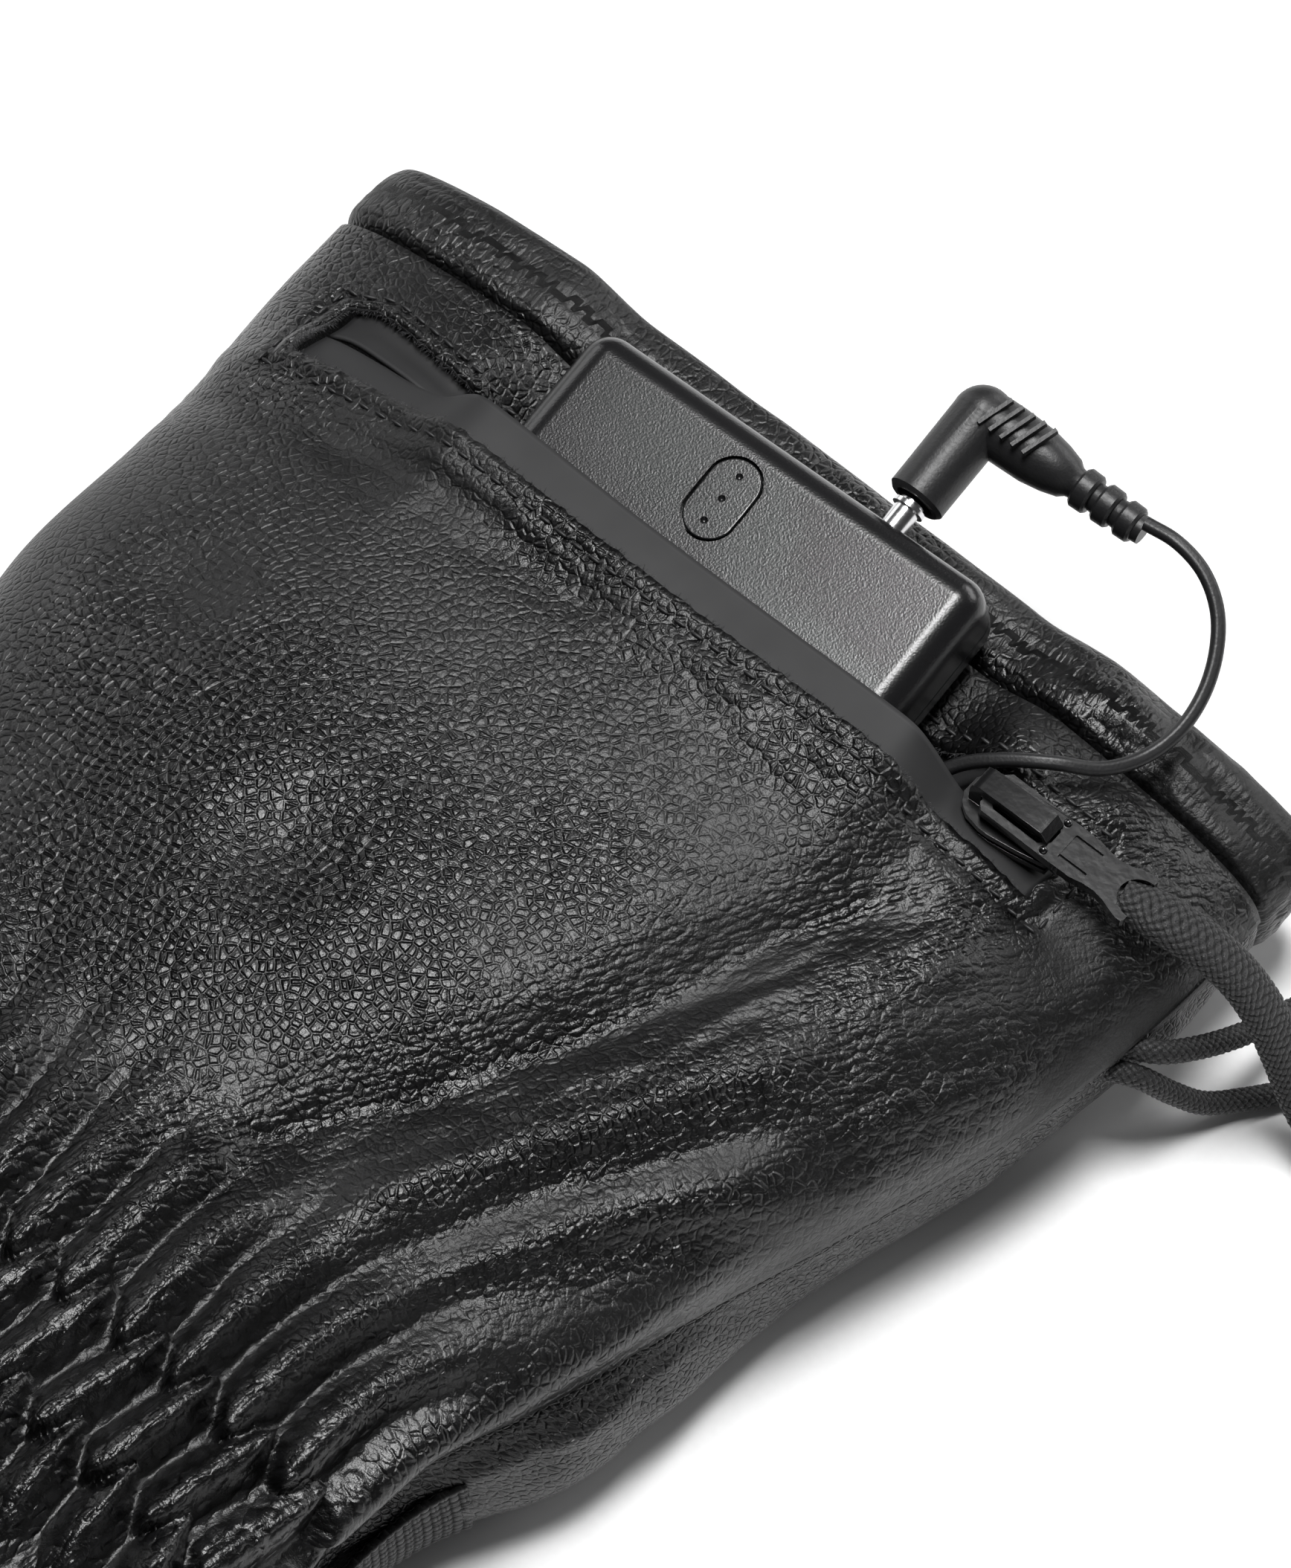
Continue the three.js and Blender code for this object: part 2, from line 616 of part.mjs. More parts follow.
const handLength = palmLength + fingerLength;
const handY = (along) => -wristLength - along;
const seamAt = (y) => palmHeight * column(handSeam, (-wristLength - y) / handLength, 'height');

function handRing(y, left, right, top, base, inset, count = 18) {
  const seam = clamp(seamAt(y), base + 1, top - 1);
  const middle = (left + right) / 2;
  const half = (right - left) / 2 - inset;
  return Array.from({ length: count }, (_, n) => {
    const angle = 2 * Math.PI * (n + 0.5) / count;
    const sine = Math.sin(angle);
    const power = sine > 0 ? 2 / crownPower : 2 / 3.2;
    const out = Math.sign(Math.cos(angle)) * Math.abs(Math.cos(angle)) ** power;
    const rise = Math.abs(sine) ** power;
    const z = sine > 0 ? seam + (top - inset - seam) * rise : seam - (seam - base - inset) * rise;
    return new THREE.Vector3(middle + out * half, y, z);
  });
}

function palmSolid(inset, extra) {
  const start = cuffSides(-wristLength);
  const startTop = lerp(wristHeight, cuffHeight, cuffSections[0].low);
  const rings = [];
  if (extra > 0) rings.push(handRing(-wristLength + extra, start.left, start.right, startTop, 0, inset));
  rings.push(handRing(-wristLength - gap, start.left, start.right, startTop, 0, inset));
  for (const row of palmSections) {
    const endInset = row === palmSections.at(-1) ? inset * 0.6 : 0;
    rings.push(handRing(handY(row.along * palmLength) + endInset, -row.left * palmWidth / 2,
      row.right * palmWidth / 2, row.top * palmHeight, row.base * palmHeight, inset));
  }
  return solid(loft(rings));
}

// Solid of a finger that starts at a point, runs at an angle and keeps to a line of heights
function fingerSolid(start, angle, length, width, inset, heightAt, count = 8) {
  const direction = new THREE.Vector3(Math.sin(angle), -Math.cos(angle), 0);
  const across = new THREE.Vector3(Math.cos(angle), Math.sin(angle), 0);
  const rings = fingerSections.map((row) => {
    const reach = row.along * (length - inset);
    const centre = start.clone().addScaledVector(direction, reach);
    centre.z = heightAt(centre.y, row.along);
    const a = Math.max(width / 2 * row.size - inset, 1);
    return Array.from({ length: count }, (_, n) => {
      const turn = 2 * Math.PI * (n + 0.5) / count;
      return centre.clone().addScaledVector(across, a * Math.cos(turn))
        .add(new THREE.Vector3(0, 0, a * 0.94 * Math.sin(turn)));
    });
  });
  return solid(loft(rings));
}

const fingerStart = (finger) => new THREE.Vector3(
  finger.across * palmWidth / 2, handY(finger.root * palmLength), 0);
const fingerOf = (finger, inset) => fingerSolid(fingerStart(finger), radians(finger.splay),
  finger.length * fingerLength, finger.size * fingerWidth, inset, (y) => seamAt(y));

const thumbAngle = radians(-38);
const thumbStart = new THREE.Vector3(-palmWidth * 0.37, handY(palmLength * 0.2), 0);
const thumbOf = (inset) => fingerSolid(thumbStart, thumbAngle, thumbLength, thumbWidth, inset,
  (y, along) => lerp(palmHeight * 0.64, thumbWidth * 0.42, clamp(along, 0, 1)), 10);

// How far the cutting blocks reach past the hand
const cutReach = 20;

// Block above, below or within a band round the seam
function seamBlock(from, to) {
  const rows = 4;
  const low = [];
  const high = [];
  for (let i = 0; i <= rows; i += 1) {
    const y = lerp(cutReach, handY(handLength + cutReach), i / rows);
    low.push([y, from === null ? -cutReach : seamAt(y) + from]);
    high.push([y, to === null ? cuffHeight + cutReach : seamAt(y) + to]);
  }
  return solid(sidePlate([...low, ...high.reverse()], -palmWidth, palmWidth));
}

// Block between the middle lines of two neighbouring fingers
function betweenFingers(a, b, inset) {
  const ends = [a, b].map((finger, side) => {
    const start = fingerStart(finger);
    const angle = radians(finger.splay);
    const across = side === 0 ? inset : -inset;
    const at = (reach) => [
      start.x + Math.sin(angle) * reach + Math.cos(angle) * across,
      start.y - Math.cos(angle) * reach + Math.sin(angle) * across,
    ];
    return [at(inset - palmLength * 0.05), at(finger.length * fingerLength + cutReach - inset)];
  });
  const block = plate([ends[0][0], ends[0][1], ends[1][1], ends[1][0]], cuffHeight + 2 * cutReach);
  block.translate(0, 0, -cutReach);
  return solid(block).intersect(seamBlock(-fourchetteWidth / 2 + inset, fourchetteWidth / 2 - inset));
}

function makeHand() {
  let outer = palmSolid(0, 0);
  let inner = palmSolid(wall, 3);
  for (const finger of fingers) {
    outer = outer.add(fingerOf(finger, 0));
    inner = inner.add(fingerOf(finger, wall));
  }
  const thumbOuter = thumbOf(0);
  const thumbInner = thumbOf(wall);
  const shell = outer.subtract(inner).subtract(thumbInner);
  const half = gap / 2;
  const pairs = fingers.slice(1).map((finger, n) => [fingers[n], finger]);
  let back = shell.intersect(seamBlock(half, null));
  let palm = shell.intersect(seamBlock(null, -half));
  for (const [a, b] of pairs) {
    const zone = betweenFingers(a, b, -half);
    back = back.subtract(zone);
    palm = palm.subtract(zone);
  }
  const fourchettes = pairs.map(([a, b]) => shell.intersect(betweenFingers(a, b, half)));
  const thumb = thumbOuter.subtract(thumbInner).subtract(palmSolid(-gap, 3)).subtract(fingerOf(fingers[0], -gap));
  return { back, palm, fourchettes, thumb };
}

// Materials

const material = (color, roughness, metalness = 0) => new THREE.MeshStandardMaterial(
  { color, roughness, metalness });
const leather = material(0x1b1b1c, 0.55);
const underLeather = material(0x1e1e1f, 0.65);
const tapeFilm = material(0x2b2b2c, 0.6);
const bagCloth = material(0x202021, 0.9);
const plastic = material(0x242425, 0.42);
const rubber = material(0x1a1a1b, 0.45);
const nickel = material(0xb9b9bb, 0.25, 1);
const lacquer = material(0x0c0c0d, 0.15, 0.6);
const braid = material(0x161617, 0.85);
const webbing = material(0x1a1a1b, 0.6);

const glove = new THREE.Group();

function addPiece(name, geometry, finish, parent = glove) {
  const mesh = new THREE.Mesh(geometry, finish);
  mesh.name = name;
  parent.add(mesh);
  return mesh;
}

addPiece('cuff_back', geometryOf(cutSlot(backSheet(wall))), leather);
addPiece('cuff_palm', makeCuffPalm(), underLeather);
addPiece('cuff_hem', makeHem(), leather);
const hand = makeHand();
addPiece('hand_back', geometryOf(hand.back), leather);
addPiece('hand_palm', geometryOf(hand.palm), underLeather);
hand.fourchettes.forEach((shape, n) => addPiece(`fourchette_${n + 1}`, geometryOf(shape), leather));
addPiece('thumb', geometryOf(hand.thumb), leather);

// Battery with its button, in a frame of its own: origin at the battery's middle

const batteryFrame = new THREE.Group();
batteryFrame.rotation.x = tilt;
batteryFrame.position.set(0, batteryFar, batteryTop);
batteryFrame.position.y += -Math.cos(tilt) * batteryLength / 2 + Math.sin(tilt) * batteryThickness / 2;
batteryFrame.position.z += -Math.sin(tilt) * batteryLength / 2 - Math.cos(tilt) * batteryThickness / 2;
glove.add(batteryFrame);

const buttonPlace = new THREE.Vector2(-3.5, batteryLength / 2 - 7.5 - buttonLength * 0.25);

// Pill-shaped plate, grown by a margin, from z = 0 up
function pill(width, length, height, steps = 6) {
  const radius = width / 2;
  const straight = length / 2 - radius;
  const outline = [];
  for (let end = 0; end < 2; end += 1) {
    for (let i = 0; i <= steps; i += 1) {
      const angle = Math.PI * (end + i / steps);
      outline.push([radius * Math.cos(angle), radius * Math.sin(angle) + (end ? -straight : straight)]);
    }
  }
  return plate(outline, height);
}

const recessDepth = buttonDepth + buttonTravel + gap;
const batteryBox = new RoundedBoxGeometry(batteryWidth, batteryLength, batteryThickness, 2, batteryRounding);
const recess = pill(buttonWidth + 2 * gap, buttonLength + 2 * gap, recessDepth + 1);
recess.translate(buttonPlace.x, buttonPlace.y, batteryThickness / 2 - recessDepth);
const barrelDepth = 7;
const jackBore = new THREE.CylinderGeometry(jackRadius + gap, jackRadius + gap, barrelDepth + gap + 2, 12);
jackBore.translate(jackOffset, batteryLength / 2 + 1 - (barrelDepth + gap) / 2, 0);
addPiece('battery', geometryOf(solid(batteryBox).subtract(solid(recess)).subtract(solid(jackBore))),
  plastic, batteryFrame);
const button = addPiece('battery_button', pill(buttonWidth, buttonLength, buttonDepth), plastic, batteryFrame);
button.position.set(buttonPlace.x, buttonPlace.y, batteryThickness / 2 - buttonDepth);

// Plug: its barrel in the battery's jack, a moulded elbow and a ribbed arm towards the cord

const plugMouth = batteryLength / 2 + plugStandoff;
const plugElbow = plugMouth + plugReach;
const barrel = new THREE.CylinderGeometry(jackRadius, jackRadius, barrelDepth + plugStandoff - gap, 12);
barrel.translate(jackOffset, batteryLength / 2 - barrelDepth + (barrelDepth + plugStandoff - gap) / 2, 0);
addPiece('plug_barrel', barrel, nickel, batteryFrame);

const armProfile = [
  [0, 0], [1.02, 0], [1, 0.3], [0.82, 0.48], [0.74, 0.56], [0.5, 0.58], [0.5, 0.61], [0.68, 0.63],
  [0.68, 0.69], [0.48, 0.71], [0.48, 0.74], [0.64, 0.76], [0.64, 0.82], [0.44, 0.84], [0.44, 0.87],
  [0.6, 0.89], [0.58, 1], [0, 1],
];
const arm = new THREE.LatheGeometry(
  armProfile.map(([r, along]) => new THREE.Vector2(r * plugRadius, along * plugArm)), 10);
arm.rotateZ(-Math.PI / 2);
arm.rotateY(radians(-4));
arm.translate(jackOffset, plugElbow, 0);
const stem = new THREE.CylinderGeometry(plugRadius, plugRadius * 0.95, plugReach, 10);
stem.translate(jackOffset, plugMouth + plugReach / 2, 0);
const knee = new THREE.SphereGeometry(plugRadius * 1.05, 10, 6);
knee.translate(jackOffset, plugElbow, 0);
addPiece('plug', geometryOf(solid(arm).add(solid(stem)).add(solid(knee))), rubber, batteryFrame);

// Pocket bag round the battery's hidden end, open towards the slot

function bagRing(y, grow) {
  const radius = batteryRounding + bagRoom + grow;
  const halfX = batteryWidth / 2 + bagRoom + grow - radius;
  const halfZ = batteryThickness / 2 + bagRoom + grow - radius;
  const corners = [[halfX, halfZ], [-halfX, halfZ], [-halfX, -halfZ], [halfX, -halfZ]];
  return corners.flatMap(([x, z], corner) => Array.from({ length: 4 }, (_, n) => {
    const angle = Math.PI / 2 * (corner + n / 3);
    return new THREE.Vector3(x + radius * Math.cos(angle), y, z + radius * Math.sin(angle));
  }));
}

function makeBag() {
  const closedEnd = -batteryLength / 2 - bagRoom;
  const mouth = 26;
  const outer = loft([bagRing(closedEnd - bagWall, bagWall - 2), bagRing(closedEnd + 2, bagWall),
    bagRing(mouth, bagWall)]);
  const inner = loft([bagRing(closedEnd, -2), bagRing(closedEnd + 2, 0), bagRing(mouth + 2, 0)]);
  const bag = solid(outer).subtract(solid(inner));
  const lowMouth = 3;
  const highMouth = -15;
  const half = batteryThickness;
  const cut = sidePlate([[highMouth, half], [mouth + 5, half], [mouth + 5, -half], [lowMouth, -half]],
    -cuffWidth, cuffWidth);
  return bag.subtract(solid(cut));
}
addPiece('pocket_bag', geometryOf(makeBag()), bagCloth, batteryFrame);

// Zip tapes: the lower one shows beside the lip, the upper one below the strip. Right of the
// battery they come level and meet at the line of the zip.

const zipShare = 0.55;
const tapeSink = 1.6;
const zipLine = (x) => lerp(slotLow(x), slotHigh(x), zipShare);
const closing = (x) => smoothstep(x, slotRight * 0.6, slotRight * 0.85);

function tapeHeight(x, y, heightAt) {
  const sides = cuffSides(y);
  const level = lerp(lowHeight(x, y, sides), stripHeight(x, y, sides), smoothstep(y, slotLow(x), slotHigh(x)));
  const sunk = wall + 2 * gap + tapeSink * closing(x);
  return lerp(heightAt(x, y, sides), level, closing(x)) + foldRelief(x, y) - sunk;
}

const tapeColumns = 14;
const tapeX = (i) => lerp(slotLeft + 1, slotRight - 1, i / tapeColumns);

function makeTape(fromY, toY, heightAt) {
  const rows = 2;
  const at = (i, j, drop) => {
    const y = lerp(fromY(tapeX(i)), toY(tapeX(i)), j / rows);
    return new THREE.Vector3(tapeX(i), y + slant(tapeX(i), y), tapeHeight(tapeX(i), y, heightAt) - drop);
  };
  const strip = wallSheet(tapeColumns, rows, (i, j) => at(i, j, 0), (i, j) => at(i, j, tapeThickness), 1);
  return geometryOf(solid(strip).subtract(leatherAbove));
}
const tapeHidden = tapeWidth - tapeShows;
const leatherAbove = cutSlot(backSheet(wall + gap));
addPiece('zip_tape_lower', makeTape((x) => slotLow(x) - tapeHidden, (x) => slotLow(x) + tapeShows,
  lowHeight), tapeFilm);
addPiece('zip_tape_upper', makeTape((x) => zipLine(x) + gap, (x) => slotHigh(x) + tapeHidden,
  stripHeight), tapeFilm);

// Slider and puller at the slot's right end

const sliderX = slotRight - 1 - sliderLength / 2;
const sliderY = zipLine(sliderX) + slant(sliderX, slotLine);
function tapeAt(x, y) {
  const place = Math.min((x - tapeX(0)) / (tapeX(1) - tapeX(0)), tapeColumns - 0.001);
  const i = Math.floor(place);
  const heightAt = y < sliderY ? lowHeight : stripHeight;
  const ends = [i, i + 1].map((n) => tapeHeight(tapeX(n), y - slant(x, y), heightAt));
  return lerp(ends[0], ends[1], place - i);
}
const sliderEnds = [-0.5, 0.5].map((share) => tapeAt(sliderX + share * sliderLength, sliderY));
const sliderDip = Math.atan2(sliderEnds[0] - sliderEnds[1], sliderLength);
const sliderReach = [-0.5, 0, 0.5].flatMap((share) => [-0.5, 0, 0.5].map((side) => tapeAt(
  sliderX + share * sliderLength, sliderY + side * sliderWidth) + share * sliderLength * Math.tan(sliderDip)));
const sliderFrame = new THREE.Group();
sliderFrame.position.set(sliderX, sliderY, Math.max(...sliderReach) + gap);
sliderFrame.rotation.y = sliderDip;
glove.add(sliderFrame);

const sliderOutline = [
  [-0.5, 0.18], [-0.38, 0.42], [-0.1, 0.5], [0.32, 0.42], [0.5, 0.34],
  [0.5, -0.34], [0.32, -0.42], [-0.1, -0.5], [-0.38, -0.42], [-0.5, -0.18],
].map(([x, y]) => [x * sliderLength, y * sliderWidth]).reverse();
const bridgeLength = sliderLength * 0.86;
const bridgeLeg = 1.8;
const bridgeOutline = [
  [-bridgeLength / 2, -0.4], [-bridgeLength / 2 + bridgeLeg, -0.4],
  [-bridgeLength / 2 + bridgeLeg, bridgeHeight - 1.2], [bridgeLength / 2 - bridgeLeg, bridgeHeight - 1.2],
  [bridgeLength / 2 - bridgeLeg, -0.4], [bridgeLength / 2, -0.4],
  [bridgeLength / 2 - 0.4, bridgeHeight - 0.4], [bridgeLength / 2 - 1.4, bridgeHeight],
  [-bridgeLength / 2 + 1.4, bridgeHeight], [-bridgeLength / 2, bridgeHeight - 0.8],
];
const bridge = plate(bridgeOutline, bridgeWidth);
bridge.rotateX(Math.PI / 2);
bridge.translate(0, bridgeWidth / 2, sliderThickness);
addPiece('zip_slider', geometryOf(solid(plate(sliderOutline, sliderThickness)).add(solid(bridge))),
  lacquer, sliderFrame);

// Puller: a frame round the bridge, its first bar beneath it, and a level plate with a hole for
// the cord
const windowWidth = bridgeWidth + 2 * gap + 0.3;
const barWidth = 1.2;
const pullerDip = 3.2;
const pullerLift = 0.8;
const frameHalf = windowWidth / 2 + 1.1;
const horn = pullerWidth / 2;
const plateStart = bridgeLength - bridgeLeg;
const cordEye = pullerLength - plateStart - 3.5;

function outlineShape(points) {
  return new THREE.Shape(points.map(([x, y]) => new THREE.Vector2(x, y)));
}

function makePuller() {
  const frame = outlineShape([[0, -frameHalf], [plateStart + barWidth, -frameHalf],
    [plateStart + barWidth, frameHalf], [0, frameHalf]]);
  frame.holes.push(new THREE.Path([[barWidth, -1], [barWidth, 1], [plateStart, 1], [plateStart, -1]]
    .map(([x, side]) => new THREE.Vector2(x, side * windowWidth / 2))));
  const end = pullerLength - plateStart;
  const tongue = outlineShape([[0, -frameHalf], [end - 7, -frameHalf], [end - 3.6, -horn], [end - 1, -horn],
    [end, 1 - horn], [end, horn - 1], [end - 1, horn], [end - 3.6, horn], [end - 7, frameHalf], [0, frameHalf]]);
  const eye = new THREE.Path();
  eye.absellipse(cordEye, 0, 2.2, 2.4, 0, 2 * Math.PI, true);
  tongue.holes.push(eye);
  const settings = { depth: pullerThickness, bevelEnabled: false, curveSegments: 5 };
  const tonguePlate = new THREE.ExtrudeGeometry(tongue, settings);
  tonguePlate.rotateY(pullerRise);
  tonguePlate.translate(plateStart, 0, 0);
  return geometryOf(solid(new THREE.ExtrudeGeometry(frame, settings)).add(solid(tonguePlate)));
}
const pullerRise = -sliderDip + radians(2);
const puller = addPiece('zip_puller', makePuller(), lacquer, sliderFrame);
puller.position.set(-bridgeLength / 2 + bridgeLeg + gap, 0, sliderThickness + gap + pullerLift);
puller.rotation.y = radians(pullerDip);

// Cords

// Round tube along a hand-chosen route
function tube(route, diameter, steps, sides = 8) {
  const curve = new THREE.CatmullRomCurve3(route.map((p) => new THREE.Vector3(...p)));
  const section = new THREE.Shape();
  section.absarc(0, 0, diameter / 2, 0, 2 * Math.PI);
  const outline = section.getPoints(sides / 2).slice(0, -1);
  return new THREE.ExtrudeGeometry(new THREE.Shape(outline),
    { steps, extrudePath: curve, curveSegments: sides, bevelEnabled: false });
}

// Flat cord along a route, its width across the route and level
function flatCord(route, width, thickness, steps) {
  const curve = new THREE.CatmullRomCurve3(route.map((p) => new THREE.Vector3(...p)));
  const up = new THREE.Vector3(0, 0, 1);
  const rings = [];
  for (let i = 0; i <= steps; i += 1) {
    const centre = curve.getPointAt(i / steps);
    const across = new THREE.Vector3().crossVectors(up, curve.getTangentAt(i / steps)).normalize();
    const lift = new THREE.Vector3().crossVectors(curve.getTangentAt(i / steps), across);
    rings.push(Array.from({ length: 8 }, (_, k) => {
      const angle = 2 * Math.PI * (k + 0.5) / 8;
      const fit = 1 / Math.cos(Math.PI / 8);
      return centre.clone().addScaledVector(across, width / 2 * fit * Math.cos(angle))
        .addScaledVector(lift, thickness / 2 * fit * Math.sin(angle));
    }));
  }
  return loft(rings);
}

addPiece('battery_cable', tube(cableRoute, cableDiameter, 20), rubber);
addPiece('side_cord', tube(sideCordRoute, sideCordDiameter, 22), braid);
addPiece('zip_cord', flatCord(zipCordRoute, cordWidth, cordThickness, 12), braid);
const cordEnd = new RoundedBoxGeometry(9, cordWidth + 2, cordThickness + 1, 1, 1);
const [endX, endY] = zipCordRoute.at(-1);
cordEnd.rotateZ(Math.atan2(-0.22, 1));
cordEnd.translate(endX + 4.5 + gap, endY - 1, (cordThickness + 1) / 2);
addPiece('zip_cord_end', geometryOf(solid(cordEnd)), rubber);

// Webbing strap down the side of the wrist, from under the back's edge

function makeStrap() {
  const columns = 4;
  const rows = 8;
  const face = (out) => (i, j) => {
    const y = lerp(strapStart, 2 - wristLength, j / rows);
    return underPoint(lerp(strapHigh, strapLow, i / columns), y, -gap - strapClear - out, cuffSides(y));
  };
  return wallSheet(columns, rows, face(strapThickness), face(0), 1);
}
addPiece('wrist_strap', makeStrap(), webbing);

// The finished part stands on z = 0 with its origin below the middle of its box, cords left out

const cordPieces = ['battery_cable', 'side_cord', 'zip_cord', 'zip_cord_end', 'plug', 'plug_barrel'];
glove.updateMatrixWorld(true);
const box = new THREE.Box3();
glove.traverse((piece) => {
  if (piece.isMesh && !cordPieces.includes(piece.name)) box.expandByObject(piece, true);
});
const middle = box.getCenter(new THREE.Vector3());
const part = new THREE.Group();
glove.position.set(-middle.x, -middle.y, -box.min.z);
part.add(glove);

export default part;
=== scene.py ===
"""Heated gauntlet glove of black leather, lying palm down, with a slim battery half out of the zip
pocket on its cuff. The frame is in metres, +Z up, fingers towards -Y, the cuff's mouth towards +Y.
Sizes here are millimetres of the real glove, and place() and metres() put them into the frame."""
import math
import random

import bmesh
import bpy
import numpy as np
from mathutils import Matrix, Vector, noise
from mathutils.bvhtree import BVHTree


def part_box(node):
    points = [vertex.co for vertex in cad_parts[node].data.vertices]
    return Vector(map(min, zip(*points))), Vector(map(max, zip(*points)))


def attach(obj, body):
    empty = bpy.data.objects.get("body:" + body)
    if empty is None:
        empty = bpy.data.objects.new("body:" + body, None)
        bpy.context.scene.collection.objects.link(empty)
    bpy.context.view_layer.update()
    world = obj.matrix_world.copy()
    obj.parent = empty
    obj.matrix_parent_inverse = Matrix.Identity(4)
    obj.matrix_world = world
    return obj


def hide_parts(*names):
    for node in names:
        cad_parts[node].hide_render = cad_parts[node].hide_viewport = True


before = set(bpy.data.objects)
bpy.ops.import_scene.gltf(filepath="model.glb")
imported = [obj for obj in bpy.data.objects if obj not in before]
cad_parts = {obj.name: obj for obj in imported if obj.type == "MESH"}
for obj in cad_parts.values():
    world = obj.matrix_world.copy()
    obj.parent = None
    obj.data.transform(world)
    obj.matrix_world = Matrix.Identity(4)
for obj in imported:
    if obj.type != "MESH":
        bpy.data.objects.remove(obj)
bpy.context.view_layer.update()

# The glove's own frame. Its x = 0 is the battery's middle, and its y = 0 is the line of the wrist
# gathers, 42 mm from the seam between cuff and hand.
WRIST_LENGTH = 42
battery_low, battery_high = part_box("battery")
glove_x = (battery_low.x + battery_high.x) / 2
glove_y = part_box("cuff_back")[0].y + WRIST_LENGTH / 1000


def place(x, y, z=0.0):
    """A point of the glove's own frame, in millimetres, as a point of the CAD frame"""
    return Vector((x / 1000 + glove_x, y / 1000 + glove_y, z / 1000))


def metres(points):
    """Many points of the glove's own frame at once"""
    return np.asarray(points, float) / 1000 + np.array([glove_x, glove_y, 0.0])


# Camera at the photograph's angle to the cuff, with a long lens three quarters of a metre away.
# It looks down over the little finger's side, so the cuff's mouth is at the top of the picture.
CAMERA_AZIMUTH = 39.8
CAMERA_ELEVATION = 60.0
CAMERA_DISTANCE = 0.75
azimuth = math.radians(CAMERA_AZIMUTH)
elevation = math.radians(CAMERA_ELEVATION)
towards_camera = Vector((math.sin(azimuth) * math.cos(elevation),
                         -math.cos(azimuth) * math.cos(elevation), math.sin(elevation)))
camera = bpy.data.objects.new("camera", bpy.data.cameras.new("camera"))
bpy.context.scene.collection.objects.link(camera)
bpy.context.scene.camera = camera
camera.location = place(9, 95, 25) + towards_camera * CAMERA_DISTANCE
camera.rotation_euler = (-towards_camera).to_track_quat("-Z", "Y").to_euler()
camera.data.sensor_width = 36
camera.data.lens = 138.3
camera.data.clip_start = 0.05
camera.data.clip_end = 20


# Cords. All of them are swept along given routes, which the CAD solids follow too. A route
# is a smooth curve through its points. The battery's lead is a thin twin cable in soft PVC.
def run_along(line):
    """Distance along a line at each of its points"""
    return np.concatenate([[0], np.cumsum(np.linalg.norm(np.diff(line, axis=0), axis=1))])


def at_distances(line, run, places):
    """Points of a line at places along it"""
    return np.stack([np.interp(places, run, line[:, k]) for k in range(line.shape[1])], axis=1)


def smooth_route(points, spacing):
    """Points of the glove's frame at even spacing on a centripetal curve through a route"""
    p = [np.asarray(q, float) for q in points]
    p = [2 * p[0] - p[1], *p, 2 * p[-1] - p[-2]]
    samples = []
    for a, b, c, d in zip(p, p[1:], p[2:], p[3:]):
        first, middle, last = (math.sqrt(np.linalg.norm(r - q)) for q, r in ((a, b), (b, c), (c, d)))
        leave = ((b - a) / first - (c - a) / (first + middle) + (c - b) / middle) * middle
        arrive = ((c - b) / middle - (d - b) / (middle + last) + (d - c) / last) * middle
        for t in np.linspace(0, 1, 24, endpoint=False):
            samples.append((2 * t**3 - 3 * t**2 + 1) * b + (t**3 - 2 * t**2 + t) * leave
                           + (3 * t**2 - 2 * t**3) * c + (t**3 - t**2) * arrive)
    samples = np.array([*samples, p[-2]])
    run = run_along(samples)
    return at_distances(samples, run, np.linspace(0, run[-1], max(int(round(run[-1] / spacing)), 8) + 1))


def sweep(line, sides, outline, level=False):
    """Rows of points round a line. outline(run, angle) gives the offsets sideways and outwards of a
    ring, and level keeps the sideways axis in the floor's plane, for flat cords"""
    tangents = np.gradient(line, axis=0)
    tangents /= np.linalg.norm(tangents, axis=1)[:, None]
    angles = np.linspace(0, 2 * math.pi, sides + 1)
    across = np.cross([0, 0, 1], tangents[0])
    rows = []
    for centre, tangent, at in zip(line, tangents, run_along(line)):
        across = np.cross([0, 0, 1], tangent) if level else across - tangent * (across @ tangent)
        across = across / np.linalg.norm(across)
        lift = np.cross(tangent, across)
        a, b = outline(at, angles)
        rows.append(centre + np.outer(a, across) + np.outer(b, lift))
    return np.array(rows)


def surface(points, round_=False, capped=False, **layers):
    """A grid with a vertex at each of points[row][column] and named values at its vertices. round_
    joins its sides, and capped closes both of its ends"""
    rows, columns = len(points) - 1, len(points[0]) - 1
    shape = bmesh.new()
    shape.loops.layers.uv.new("UVMap")
    kinds = shape.verts.layers
    made = {name: (kinds.float_vector if values.ndim == 3 else kinds.float).new(name)
            for name, values in layers.items()}
    bmesh.ops.create_grid(shape, x_segments=columns, y_segments=rows, size=1, calc_uvs=True)
    for v in shape.verts:
        column = round((v.co.x + 1) / 2 * columns)
        row = round((v.co.y + 1) / 2 * rows)
        v.co = points[row][column]
        for name, layer in made.items():
            value = layers[name][row, column]
            v[layer] = Vector(value) if np.ndim(value) else float(value)
    if round_:
        bmesh.ops.remove_doubles(shape, verts=shape.verts, dist=1e-7)
    if capped:
        bmesh.ops.holes_fill(shape, edges=shape.edges, sides=0)
    bmesh.ops.recalc_face_normals(shape, faces=shape.faces)
    return shape


def linear(hex_colour):
    """An sRGB hex value as linear RGBA"""
    channels = [int(hex_colour[k:k + 2], 16) / 255 for k in (1, 3, 5)]
    return (*(c / 12.92 if c <= 0.04045 else ((c + 0.055) / 1.055) ** 2.4 for c in channels), 1.0)


